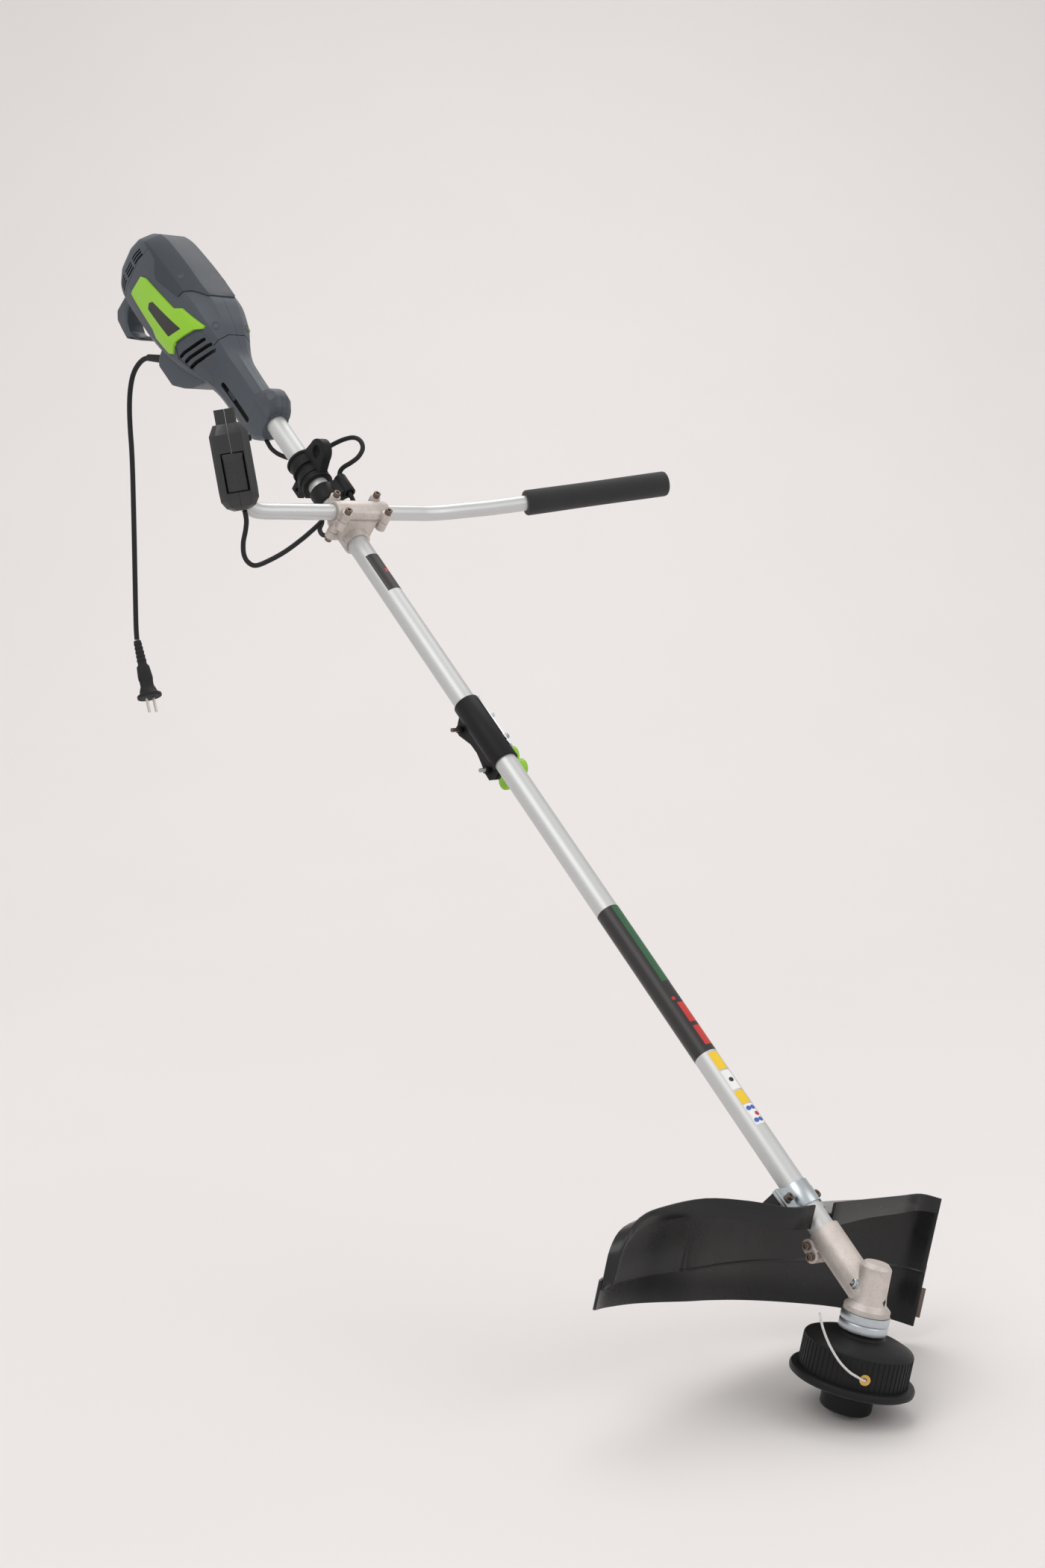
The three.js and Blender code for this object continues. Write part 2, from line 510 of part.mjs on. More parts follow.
// ---------------------------------------------------------------- leads
// Flexible control lead: housing to clip, then clip to throttle handle.
const leadUpper = alongCurve([...LEAD_ENTRY.slice(0, -1).reverse(), [-24, -40, -6], [-31, -31, 10],
  [-35, -24, 27], [-38, -12, 46], [-40, 0, 58.5], [-40, 13, 63.5], [-38, 24, 61], [-32, 30, 53],
  [-26, 29.5, 43], [-21.5, 26.5, 33.5], [-19.3, 26.5, 26.5], [CLIP_X - 0.3, 31, 21], [CLIP_X, 38, CLIP_Z],
  [CLIP_X, 45.5, CLIP_Z]], LEAD_R, 8, 42);
add(shaft, 'control_lead_upper', leadUpper, RUBBER);
const leadLower = alongCurve([[CLIP_X, 46.5, CLIP_Z], [CLIP_X, 56, CLIP_Z], [CLIP_X - 0.5, 63, 19],
  [-22, 70, 13], [-24.5, 74, 3], [-23, 77, -10], [-14, 79, -22], [0, 82, -27.5], [14, 85, -26],
  [27, 89, -14], [31, 91.5, -2], [36, 95, 5], [44, 101, 5], [56, 107.5, 0], [70, 114, -7], [94, 124, -17],
  [118, 132, -24], [140, 139, -26], [152, 138, -22.5], [162, 136, -12], [167.5, 132, 3], [168, 127, 17],
  [169, 122, 28], [172.5, 116, 38]], LEAD_R, 8, 48);
add(shaft, 'control_lead_lower', leadLower, RUBBER);

// Mains lead: a tapered relief out of the foot, then hanging free to its plug.
const RELIEF_TILT = 125;
const reliefProfile = [[0, 0], [7, 0], [7, 4], [5.6, 7], [5.2, 30], [4.6, 46], [0, 46]];
add(shaft, 'strain_relief', turned(reliefProfile, 14), RUBBER, (mesh) => {
  mesh.position.set(5, -341.6, -92.6);
  mesh.rotation.x = THREE.MathUtils.degToRad(RELIEF_TILT + 90);
});
const mainsCord = alongCurve([[5, -386, 138.1], [5, -398, 136.6], [5, -410, 131.5], [5, -421, 123],
  [5, -429, 111], [5, -434.5, 93], [5, -436.5, 71], [5, -435.5, 45], [5, -433, 19], [5, -431.5, -12],
  [5, -430.8, -63], [5, -430.5, -120], [5, -430.5, -180], [5, -430.2, -225], [5, -428.5, -244]],
  CORD_R, 8, 44);
add(trimmer, 'mains_cord', mainsCord, RUBBER);
const PLUG_TILT = 21.5;
const plug = union(
  turned([[0, 0], [5.2, 0], [6.6, -34], [9, -38], [11, -70], [13, -77], [16.5, -78], [17, -83], [0, -83]],
    18),
  rod(2, 22, 12, { at: [-5.5, -93, 0] }),
  rod(2, 22, 12, { at: [5.5, -93, 0] }),
);
add(trimmer, 'plug', plug, RUBBER, (mesh) => {
  mesh.position.set(5, -428, -245.6);
  mesh.rotation.x = THREE.MathUtils.degToRad(90 + PLUG_TILT);
});

// ---------------------------------------------------------------- gearbox
const SOCKET_START = 1139;
const NECK_R = 16.2;
const socketPart = union(
  rod(NECK_R, 76, 26, { at: [0, SOCKET_START + 38, 0] }),
  box([25, 12, 12.5], { at: [0, 1148.8, -18.6] }),
  ...[1143.5, 1154].map((y, i) => rod(6.8, 25, 22, { at: [0, y, -17.6 - 3.4 * i], turn: [0, 0, 90] })),
);
const toOutput = new THREE.Matrix4().makeRotationX(THREE.MathUtils.degToRad(OUTPUT_TILT));
toOutput.setPosition(0, OUTPUT_Y, 0);
const inLower = (manifold) => solid(meshed(manifold).applyMatrix4(toOutput));
const bevelBody = turned([[0, 35], [12, 35], [15.5, 31], [16.2, 4], [17.5, -4], [22.8, -9], [22.8, -14],
  [0, -14]], 26);
const gearCavity = turned([[0, 27], [11, 27], [13.2, 9], [13.5, -16], [0, -16]], 22);
const gearbox = cut(
  union(socketPart, inLower(bevelBody)),
  rod(CLAMP_BORE, 42, 30, { at: [0, SOCKET_START + 18, 0] }),
  rod(10.5, 60, 22, { at: [0, SOCKET_START + 62, 0] }),
  inLower(gearCavity),
  box([2.4, 34, 22], { at: [0, 1145, -24] }),
  ...[1143.5, 1154].map((y, i) => rod(2.9, 60, 12, { at: [0, y, -17.6 - 3.4 * i], turn: [0, 0, 90] })),
);
add(lower, 'gearbox', gearbox, CAST);
for (const [index, y] of [1143.5, 1154].entries()) {
  add(lower, `gearbox_bolt_${index + 1}`, socketScrew(4.2, 5.4, 2.4, 28), DARK_BOLT, (mesh) => {
    mesh.position.set(12.5 + GAP + 5.4, y, -17.6 - 3.4 * index);
    mesh.rotation.z = -Math.PI / 2;
  });
}

// ---------------------------------------------------------------- lower drive and output gears
add(lower, 'lower_drive_shaft', union(
  rod(3.4, 20, 4, { at: [0, 445, 0] }),
  rod(4, 754, 14, { at: [0, 831.5, 0] }),
), STEEL);
// Both bevel gears have their cone points where the two axes cross.
const TEETH_PINION = 13;
const TEETH_GEAR = 19;
const CONE_SMALL = 8.4;
const CONE_LARGE = 12.6;
const PINION_CONE = THREE.MathUtils.degToRad(42.7);
const GEAR_CONE = THREE.MathUtils.degToRad(OUTPUT_TILT) - PINION_CONE;

// A bevel gear below its cone point: pitch cone half angle, hub radius, and how far down the hub reaches.
function bevelGear(teeth, cone, hub, reach) {
  const spot = (along, out) =>
    [along * Math.sin(cone) + out * Math.cos(cone), out * Math.sin(cone) - along * Math.cos(cone)];
  const [small, large] = [CONE_SMALL, CONE_LARGE].map((along) => spot(along, -0.09 * along));
  const blank = turned([[0, small[1]], small, large, [large[0], large[1] - 1.6], [hub, large[1] - 2.6],
    [hub, -reach], [0, -reach]], 20);
  const section = [[-0.04, 0.065], [0.04, 0.065], [0.075, -0.12], [-0.075, -0.12]];
  const ridge = (along) => section.map(([x, out]) => {
    const [r, y] = spot(along, out * along);
    return new THREE.Vector3(x * along, y, r);
  });
  const tooth = meshed(loft([ridge(CONE_SMALL), ridge(CONE_LARGE)]));
  const pitch = (2 * Math.PI) / teeth;
  const ribs = Array.from({ length: teeth }, (_, i) => solid(tooth.clone().rotateY(pitch * i)));
  return union(blank, ...ribs);
}
const pinion = bevelGear(TEETH_PINION, PINION_CONE, 7, 17).subtract(rod(4.3, 60, 16));
add(lower, 'bevel_pinion', pinion, STEEL, (mesh) => {
  mesh.position.y = OUTPUT_Y;
});
const outputShaft = union(bevelGear(TEETH_GEAR, GEAR_CONE, 8, 9), rod(5, 50, 16, { at: [0, -31, 0] }));
add(output, 'output_shaft', outputShaft, STEEL);
add(output, 'drive_flange', turned([[5.3, -14.4], [24, -14.4], [24, -22.4], [23.2, -22.9], [23.2, -23.6],
  [24, -24.1], [24, -31.8], [5.3, -31.8]], 24), ZINC);

// ---------------------------------------------------------------- cutting head
const EYELET_Y = -64;
// Two eyelets let the line out on opposite sides; the angle is about the output axis, from straight back.
const EYELET_TURN = 131;
const outAt = (r, length, sides, reach, turn) => rod(r, length, sides,
  { at: [0, EYELET_Y, reach], turn: [90, 0, 0] })
  .rotate([0, turn, 0]);
const headCap = cut(
  turned([[5.3, -32.1], [20, -32.1], [24, -36.5], [45, -41.5], [HEAD_R, HEAD_TOP], [HEAD_R, HEAD_BOTTOM],
    [HEAD_R - 3, HEAD_BOTTOM], [HEAD_R - 3, -48], [42, -45.5], [5.3, -41]], 32),
  ...[0, 180].map((turn) => outAt(4.5, 16, 12, HEAD_R, EYELET_TURN + turn)),
);
add(output, 'head_cap', headCap, BLACK);
add(output, 'head_cover', turned([[27, -83.5], [56, -84.5], [FLANGE_R - 1, -82.5], [FLANGE_R, -80],
  [FLANGE_R, -77.5], [FLANGE_R - 1.5, -75.5], [HEAD_R + 0.6, -75.5], [HEAD_R + 0.6, HEAD_BOTTOM - GAP],
  [27, HEAD_BOTTOM - GAP]], 32), BLACK);
for (const [index, turn] of [EYELET_TURN, EYELET_TURN + 180].entries()) {
  const eyelet = union(outAt(4.2, 7, 12, HEAD_R - 2, turn), outAt(5.4, 1.6, 14, HEAD_R + 1.1, turn));
  add(output, `line_eyelet_${index + 1}`, eyelet.subtract(outAt(2, 20, 10, HEAD_R, turn)), BRASS);
}
const spool = turned([[7, -53], [42, -53], [42, -55], [16, -55], [16, -73], [42, -73], [42, -75],
  [7, -75]], 22);
add(output, 'spool', spool, BLACK);
add(output, 'bump_knob', turned([[0, -76], [20, -76], [20, -88], [KNOB_R, -88.5], [KNOB_R, -108],
  [23.5, -111.5], [16, -112.5], [0, -112.5]], 28), BLACK);

const lineOut = alongCurve([[35.5, -64, -30.8], [40.4, -64, -35.1], [43, -64, -37.4], [47.5, -63, -38],
  [52.5, -60.5, -34], [56, -57.5, -25], [58, -51, -13.5], [59.8, -39.5, -1], [61.2, -26.8, 8.5],
  [62.2, -14, 14.8]], 1.2, 8, 22);
add(output, 'trimmer_line', lineOut, NYLON);

// ---------------------------------------------------------------- guard
// Stations round the back of the head: front lip [x, y, h], lip depth, wall top [x, y, h], wall foot height.
const GUARD = [
  { lip: [-200, -48, 71], depth: 16, wall: [-203, -50, 66], foot: -12 },
  { lip: [-186, -64, 72], depth: 18, wall: [-190, -78, 62], foot: -13 },
  { lip: [-146, -65, 72], depth: 19, wall: [-148, -112, 52], foot: -15 },
  { lip: [-84, -66, 72], depth: 20, wall: [-84, -136, 45], foot: -18 },
  { lip: [-30, -67, 72], depth: 24, wall: [-28, -152, 41], foot: -20 },
  { lip: [18, -69, 71], depth: 24, wall: [20, -159, 38], foot: -22 },
  { lip: [48, -80, 67], depth: 22, wall: [52, -162, 37], foot: -24 },
  { lip: [68, -112, 64], depth: 21, wall: [78, -165, 36], foot: -25 },
  { lip: [92, -146, 57], depth: 18, wall: [104, -168, 36], foot: -26 },
  { lip: [134, -161, 47], depth: 14, wall: [140, -171, 34], foot: -28 },
  { lip: [174, -160, 39], depth: 12, wall: [182, -170, 26], foot: -30 },
  { lip: [197, -157, 16], depth: 11, wall: [202, -166, 8], foot: -31 },
  { lip: [206, -154, -18], depth: 8, wall: [208, -162, -21], foot: -31 },
];
const WALL = 3;
function guardRing({ lip, depth, wall, foot }) {
  const [lx, ly, lh] = lip;
  const [wx, wy, wh] = wall;
  const out = new THREE.Vector2(wx, wy - 20).normalize(); // away from the head
  const at = (x, y, h) => new THREE.Vector3(x, h, -y);
  const back = new THREE.Vector2(wx - lx, wy - ly).normalize().multiplyScalar(WALL);
  return [
    at(wx + out.x * WALL, wy + out.y * WALL, foot),
    at(wx + out.x * WALL, wy + out.y * WALL, wh),
    at(lx + back.x, ly + back.y, lh - 0.62 * depth + WALL),
    at(lx + back.x, ly + back.y, lh),
    at(lx, ly, lh),
    at(lx, ly, lh - depth),
    at(lx + back.x, ly + back.y, lh - depth),
    at(lx + back.x, ly + back.y, lh - 0.62 * depth),
    at(wx, wy, wh - WALL),
    at(wx, wy, foot),
  ];
}
// Two bosses carry the bracket on the lower tube.
const inOutput = (manifold) => solid(meshed(manifold).applyMatrix4(toOutput.clone().invert()));
const BRACKET_Y = 1099;
const BRACKET_X = 25;
const bosses = [-1, 1].map((sx) => inOutput(box([15, 24, 22], { at: [sx * BRACKET_X, BRACKET_Y, -17.8] })));
const guard = cut(
  union(loft(GUARD.map(guardRing)), ...bosses),
  box([35, 100, 80], { at: [0, 76, 67] }),
  ...[-1, 1].map((sx) => inOutput(rod(2.8, 60, 12,
    { at: [sx * BRACKET_X, BRACKET_Y, -5], turn: [90, 0, 0] }))),
);
add(output, 'guard', guard, BLACK);

// The skirt below it follows the same wall a little further out and carries the line cutter.
const SKIRT_FOOT = [-70, -69, -66, -63, -61, -59, -58, -57, -56, -55, -54, -53, -50];
function skirtRing({ wall, foot }, index) {
  const [wx, wy] = wall;
  const out = new THREE.Vector2(wx, wy - 20).normalize();
  const at = (offset, h) => new THREE.Vector3(wx + out.x * offset, h, -(wy + out.y * offset));
  const inner = WALL + GAP + 0.1;
  return [at(inner, SKIRT_FOOT[index]), at(inner + WALL, SKIRT_FOOT[index]), at(inner + WALL, foot + 9),
    at(inner, foot + 9)];
}
add(output, 'guard_skirt', loft(GUARD.map(skirtRing)), BLACK);
const blade = box([1.6, 32, 26], { at: [-206.3, -44, 60.7], turn: [0, 24.7, 0] });
add(output, 'line_cutter', blade, STEEL);

// ---------------------------------------------------------------- guard bracket
const bandRing = cut(
  union(
    rod(TUBE_R + 1.7, 26, 30, { at: [0, BRACKET_Y, 0] }),
    box([66, 26, 2.6], { at: [0, BRACKET_Y, -1.6] }),
  ),
  rod(CLAMP_BORE, 40, 32, { at: [0, BRACKET_Y, 0] }),
  box([100, 60, 40], { at: [0, BRACKET_Y, -22.9] }),
  ...[-1, 1].map((sx) => rod(2.8, 20, 12, { at: [sx * BRACKET_X, BRACKET_Y, 0], turn: [90, 0, 0] })),
);
add(lower, 'bracket_band', bandRing, ZINC);
const plate = cut(
  union(
    rod(TUBE_R + 2.6, 26, 30, { at: [0, BRACKET_Y, 0] }),
    box([66, 26, 3], { at: [0, BRACKET_Y, -4.9] }),
  ),
  rod(CLAMP_BORE, 40, 32, { at: [0, BRACKET_Y, 0] }),
  box([100, 60, 40], { at: [0, BRACKET_Y, 16.6] }),
  ...[-1, 1].map((sx) => rod(2.8, 20, 12, { at: [sx * BRACKET_X, BRACKET_Y, -5], turn: [90, 0, 0] })),
);
add(lower, 'bracket_plate', plate, ZINC);
for (const [index, x] of [-BRACKET_X, BRACKET_X].entries()) {
  add(lower, `bracket_bolt_${index + 1}`, socketScrew(4.3, 5.5, 2.5, 26), DARK_BOLT, (mesh) => {
    mesh.position.set(x, BRACKET_Y, -0.3 + GAP + 5.5);
    mesh.rotation.x = Math.PI / 2;
  });
}

export default trimmer;
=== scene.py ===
import json
import math

import bmesh
import bpy
from bpy.props import FloatProperty, FloatVectorProperty, IntProperty, PointerProperty
from bpy.types import Operator, Panel, PropertyGroup
from mathutils import Matrix, Vector


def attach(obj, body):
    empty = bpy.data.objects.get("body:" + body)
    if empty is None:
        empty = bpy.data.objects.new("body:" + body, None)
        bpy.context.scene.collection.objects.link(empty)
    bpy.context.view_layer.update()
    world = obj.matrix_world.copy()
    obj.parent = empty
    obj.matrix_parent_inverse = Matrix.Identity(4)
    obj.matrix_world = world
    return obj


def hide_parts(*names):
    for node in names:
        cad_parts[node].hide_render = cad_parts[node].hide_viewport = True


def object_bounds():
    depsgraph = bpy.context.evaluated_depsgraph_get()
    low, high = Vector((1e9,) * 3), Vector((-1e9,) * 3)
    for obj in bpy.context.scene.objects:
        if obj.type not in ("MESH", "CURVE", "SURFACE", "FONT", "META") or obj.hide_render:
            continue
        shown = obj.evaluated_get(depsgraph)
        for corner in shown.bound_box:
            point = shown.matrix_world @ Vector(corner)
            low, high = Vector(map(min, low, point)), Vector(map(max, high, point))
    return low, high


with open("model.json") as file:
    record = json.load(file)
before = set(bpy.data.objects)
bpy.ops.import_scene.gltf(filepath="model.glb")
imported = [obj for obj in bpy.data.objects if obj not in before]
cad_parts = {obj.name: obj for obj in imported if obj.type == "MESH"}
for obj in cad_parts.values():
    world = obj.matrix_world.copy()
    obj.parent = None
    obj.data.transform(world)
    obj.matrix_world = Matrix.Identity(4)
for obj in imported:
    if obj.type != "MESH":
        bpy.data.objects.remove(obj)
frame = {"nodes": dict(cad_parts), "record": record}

bl_info = {
    "name": "String trimmer",
    "version": (1, 0, 0),
    "blender": (4, 5, 0),
    "location": "3D View > Sidebar > Trimmer",
    "description": "Builds the looks of a corded string trimmer on its packed frame",
    "category": "Add Mesh",
}

CAD_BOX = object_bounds()

# ---- frames
MM = 0.001
PITCH, ROLL, OUTPUT_TILT = 41.8, -13.3, 125.3


def turn(degrees, axis):
    return Matrix.Rotation(math.radians(degrees), 4, axis)


def shift(x, y, z):
    return Matrix.Translation(Vector((x, y, z)) * MM)


def facing(way):
    """Turns +Y to face a unit vector."""
    return Vector((0, 1, 0)).rotation_difference(way).to_matrix().to_4x4()


WORLD = Matrix.Identity(4)
SHAFT = turn(-PITCH, "X") @ shift(0, 0, -34.5)  # +Y down the boom, +Z square to it
LOWER = SHAFT @ turn(ROLL, "Y")
OUTPUT = LOWER @ shift(0, 1218, 0) @ turn(OUTPUT_TILT, "X")  # +Y up the output axis, +Z back


FINISHES = {}  # finished materials by name


# ---- mesh making
def rings_mesh(rings):
    """A skin over rings of equal length, closed at both ends."""
    count = len(rings[0])
    points = [p for ring in rings for p in ring]
    faces = []
    for r in range(len(rings) - 1):
        a, b = r * count, (r + 1) * count
        faces += [(a + i, a + (i + 1) % count, b + (i + 1) % count, b + i) for i in range(count)]
    faces.append(tuple(range(count))[::-1])
    last = (len(rings) - 1) * count
    faces.append(tuple(range(last, last + count)))
    return points, faces


def turned(profile, sides=64):
    """A turned shape about Y from (radius, y) pairs; it closes on itself when it stays off the axis."""
    rings = []
    for k in range(sides):
        a = 2 * math.pi * k / sides
        rings.append([(max(r, 1e-4) * math.cos(a), y, max(r, 1e-4) * math.sin(a)) for r, y in profile])
    count = len(profile)
    points = [p for ring in rings for p in ring]
    off_axis = all(r > 0 for r, _ in profile)
    spans = count if off_axis else count - 1
    faces = []
    for k in range(sides):
        a, b = k * count, (k + 1) % sides * count
        faces += [(a + i, b + i, b + (i + 1) % count, a + (i + 1) % count) for i in range(spans)]
    return points, faces


def catmull(points, per_span=8):
    """A smooth line through the points."""
    pts = [Vector(p) for p in points]
    pts = [2 * pts[0] - pts[1]] + pts + [2 * pts[-1] - pts[-2]]
    line = []
    for i in range(1, len(pts) - 2):
        a, b, c, d = pts[i - 1:i + 3]
        for k in range(per_span):
            t = k / per_span
            line.append(0.5 * ((2 * b) + (c - a) * t + (2 * a - 5 * b + 4 * c - d) * t * t
                               + (3 * b - a - 3 * c + d) * t ** 3))
    return line + [pts[-2]]


def swept(line, radius, sides=24):
    """A round bar along a line."""
    rings, normal = [], None
    for i, p in enumerate(line):
        ahead = (line[min(i + 1, len(line) - 1)] - line[max(i - 1, 0)]).normalized()
        if normal is None:
            normal = ahead.orthogonal().normalized()
        normal = (normal - ahead * normal.dot(ahead)).normalized()
        side = ahead.cross(normal)
        rings.append([p + radius * (math.cos(a) * normal + math.sin(a) * side)
                      for a in (2 * math.pi * k / sides for k in range(sides))])
    return rings_mesh(rings)


def plated(outline, x0, x1):
    """A plate between two values of X from a (y, z) outline."""
    return rings_mesh([[(x, y, z) for y, z in outline] for x in (x0, x1)])


def boxed(size, centre=(0, 0, 0)):
    sx, sy, sz = (s / 2 for s in size)
    ring = [(-sx, -sy), (sx, -sy), (sx, sy), (-sx, sy)]
    points, faces = rings_mesh([[(x, y, z) for x, y in ring] for z in (-sz, sz)])
    return [Vector(p) + Vector(centre) for p in points], faces


def joined(*shapes):
    points, faces = [], []
    for more_points, more_faces in shapes:
        base = len(points)
        points += list(more_points)
        faces += [tuple(base + i for i in f) for f in more_faces]
    return points, faces


def placed(shape, where):
    points, faces = shape
    return [where @ Vector(p) for p in points], faces


def raw_object(name, shape, place, finish):
    """An object with its place in its mesh; shape is in millimetres in the frame of place."""
    mesh = bpy.data.meshes.new(name)
    points, faces = shape
    mesh.from_pydata([place @ (Vector(p) * MM) for p in points], [], faces)
    obj = bpy.data.objects.new(name, mesh)
    bpy.context.scene.collection.objects.link(obj)
    bm = bmesh.new()
    bm.from_mesh(mesh)
    bmesh.ops.remove_doubles(bm, verts=bm.verts, dist=2e-6)
    bmesh.ops.recalc_face_normals(bm, faces=bm.faces)
    bm.to_mesh(mesh)
    bm.free()
    mesh.materials.append(FINISHES[finish])
    return obj


def applied(obj):
    """Turns an object's modifiers into plain mesh."""
    bpy.context.view_layer.update()
    made = bpy.data.meshes.new_from_object(obj.evaluated_get(bpy.context.evaluated_depsgraph_get()))
    obj.modifiers.clear()
    obj.data = made
    return obj


def bevelled(obj, width, angle=25, segments=2):
    mod = obj.modifiers.new("bevel", "BEVEL")
    mod.width, mod.segments, mod.angle_limit = width * MM, segments, math.radians(angle)
    mod.limit_method = "ANGLE"
    mod.use_clamp_overlap = True
    return applied(obj)


def carved(obj, cutters, operation="DIFFERENCE"):
    """Cuts, joins or trims obj with other objects, which are used up."""
    for cutter in cutters:
        mod = obj.modifiers.new("cut", "BOOLEAN")
        mod.operation, mod.object, mod.solver = operation, cutter, "EXACT"
        mod.material_mode = "TRANSFER"
    applied(obj)
    for cutter in cutters:
        bpy.data.objects.remove(cutter)
    return obj


def tool(shape, place, finish):
    return raw_object("cutter", shape, place, finish)


def settled(obj, body, nodes=(), smooth=30):
    """Shades a finished piece, hands it to a body, and hides the CAD nodes it stands for."""
    obj.data.shade_smooth()
    obj.data.set_sharp_from_angle(angle=math.radians(smooth))
    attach(obj, body)
    if nodes:
        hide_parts(*nodes)
    return obj


def piece(name, shape, place, finish, body, nodes=(), smooth=30, bevel=0.0, segments=2):
    obj = raw_object(name, shape, place, finish)
    if bevel:
        bevelled(obj, bevel, segments=segments)
    return settled(obj, body, nodes, smooth)


def refined(node, finish, bevel=0.35, smooth=32, angle=38):
    """A smooth, soft-edged copy of a CAD node that stands for it."""
    source = frame["nodes"][node]
    obj = bpy.data.objects.new(node + "_finished", source.data.copy())
    bpy.context.scene.collection.objects.link(obj)
    bm = bmesh.new()
    bm.from_mesh(obj.data)
    bmesh.ops.remove_doubles(bm, verts=bm.verts, dist=2e-5)
    bmesh.ops.dissolve_limit(bm, angle_limit=math.radians(1.5), verts=bm.verts, edges=bm.edges)
    bm.to_mesh(obj.data)
    bm.free()
    obj.data.materials.clear()
    obj.data.materials.append(FINISHES[finish])
    if bevel:
        bevelled(obj, bevel, angle=angle)
    body = next(b for b, names in frame["record"]["behaviour"]["bodies"].items() if node in names)
    return settled(obj, body, (node,), smooth)


# ---- shader making
class Wire:
    """A node output that takes part in Python arithmetic."""

    def __init__(self, shader, socket):
        self.shader, self.socket = shader, socket

    def _math(self, operation, *values):
        return self.shader.node("ShaderNodeMath", {"operation": operation}, *values)

    def __add__(self, other):
        return self._math("ADD", self, other)

    def __sub__(self, other):
        return self._math("SUBTRACT", self, other)

    def __rsub__(self, other):
        return self._math("SUBTRACT", other, self)

    def __mul__(self, other):
        return self._math("MULTIPLY", self, other)

    __radd__, __rmul__ = __add__, __mul__


class Shader:
    """Builds one material; every node but the arithmetic comes from node()."""

    def __init__(self, name):
        self.material = bpy.data.materials.new(name)
        self.material.use_nodes = True
        self.tree = self.material.node_tree
        self.tree.nodes.clear()
        self.surface = self.tree.nodes.new("ShaderNodeBsdfPrincipled")
        out = self.tree.nodes.new("ShaderNodeOutputMaterial")
        self.tree.links.new(self.surface.outputs[0], out.inputs[0])
        self.place = self.node("ShaderNodeTexCoord", {}, output="Object")

    def node(self, kind, settings, *values, output=0, **named):
        made = self.tree.nodes.new(kind)
        for key, value in settings.items():
            setattr(made, key, value)
        pairs = [(made.inputs[i], v) for i, v in enumerate(values)]
        pairs += [(made.inputs[key.replace("_", " ")], v) for key, v in named.items()]
        for socket, value in pairs:
            if isinstance(value, Wire):
                self.tree.links.new(value.socket, socket)
            elif value is not None:
                socket.default_value = value
        return Wire(self, made.outputs[output])

    def noise(self, scale, detail=3.0, rough=0.5, at=None):
        return self.node("ShaderNodeTexNoise", {}, Vector=at or self.place, Scale=scale, Detail=detail,
                         Roughness=rough)

    def cells(self, scale):
        return self.node("ShaderNodeTexVoronoi", {}, Vector=self.place, Scale=scale)

    def step(self, value, low, high, to=(0.0, 1.0)):
        return self.node("ShaderNodeMapRange", {"clamp": True}, value, low, high, *to)

    def mix(self, share, a, b):
        made = self.node("ShaderNodeMix", {"data_type": "RGBA"}, output=2)
        node = made.socket.node
        for socket, value in ((node.inputs[0], share), (node.inputs[6], a), (node.inputs[7], b)):
            if isinstance(value, Wire):
                self.tree.links.new(value.socket, socket)
            else:
                socket.default_value = value if isinstance(value, float) else (*value, 1)
        return made

    def bump(self, height, strength, distance=0.001):
        return self.node("ShaderNodeBump", {}, Strength=strength, Distance=distance, Height=height)

    def finish(self, **sockets):
        for key, value in sockets.items():
            socket = self.surface.inputs[key.replace("_", " ")]
            if isinstance(value, Wire):
                self.tree.links.new(value.socket, socket)
            else:
                socket.default_value = value if isinstance(value, (int, float)) else (*value, 1)
        return self.material


def shade(colour, factor):
    return tuple(min(1.0, c * factor) for c in colour)


def moulded(name, colour, rough=0.45, grain=2600.0, grain_depth=0.12, coat=0.0, scuff=0.06, shine=0.5):
    """Moulded plastic: fine spark-eroded grain, faint mottling, and rubbed patches that shine."""
    s = Shader(name)
    cloud = s.noise(9.0, 4.0)
    rub = s.step(s.noise(26.0, 5.0, 0.6), 0.56, 0.74)
    tone = s.mix(cloud, shade(colour, 0.88), shade(colour, 1.12))
    grain_height = s.noise(grain, 2.0, 0.6)
    return s.finish(
        Base_Color=s.mix(rub * 0.25, tone, shade(colour, 1.35)),
        Roughness=rough + 0.08 * cloud - scuff * rub,
        Normal=s.bump(grain_height, grain_depth, 0.0004),
        Specular_IOR_Level=shine,
        Coat_Weight=coat,
        Coat_Roughness=0.12,
    )


def drawn_metal(name, colour, rough=0.36, spin=None):
    """Drawn and anodised tube: fine lines along its length."""
    s = Shader(name)
    along = s.node("ShaderNodeMapping", {"vector_type": "POINT"}, s.place, None,
                   spin or (math.radians(PITCH), 0, 0), (620.0, 3.0, 620.0))
    lines = s.noise(1.0, 3.0, 0.6, at=along)
    cloud = s.noise(6.0, 4.0)
    tone = s.mix(lines, shade(colour, 0.93), shade(colour, 1.05))
    return s.finish(
        Base_Color=s.mix(cloud * 0.4, tone, shade(colour, 0.9)),
        Metallic=0.6,
        Roughness=rough + 0.1 * lines + 0.08 * cloud,
        Normal=s.bump(lines, 0.05, 0.0003),
    )


def cast_metal(name, colour, rough=0.48):
    """Tumbled die casting: soft pitted grain and darker stains."""
    s = Shader(name)
    grain = s.noise(1400.0, 3.0, 0.65)
    pits = s.step(s.cells(520.0), 0.05, 0.3)
    stain = s.step(s.noise(38.0, 5.0, 0.6), 0.42, 0.72)
    tone = s.mix(stain, colour, shade(colour, 0.78))
    return s.finish(
        Base_Color=s.mix(1.0 - pits, tone, shade(colour, 0.6)),
        Metallic=0.8,
        Roughness=rough + 0.14 * grain,
        Normal=s.bump(grain * 0.6 + pits * 0.4, 0.28, 0.0006),
    )


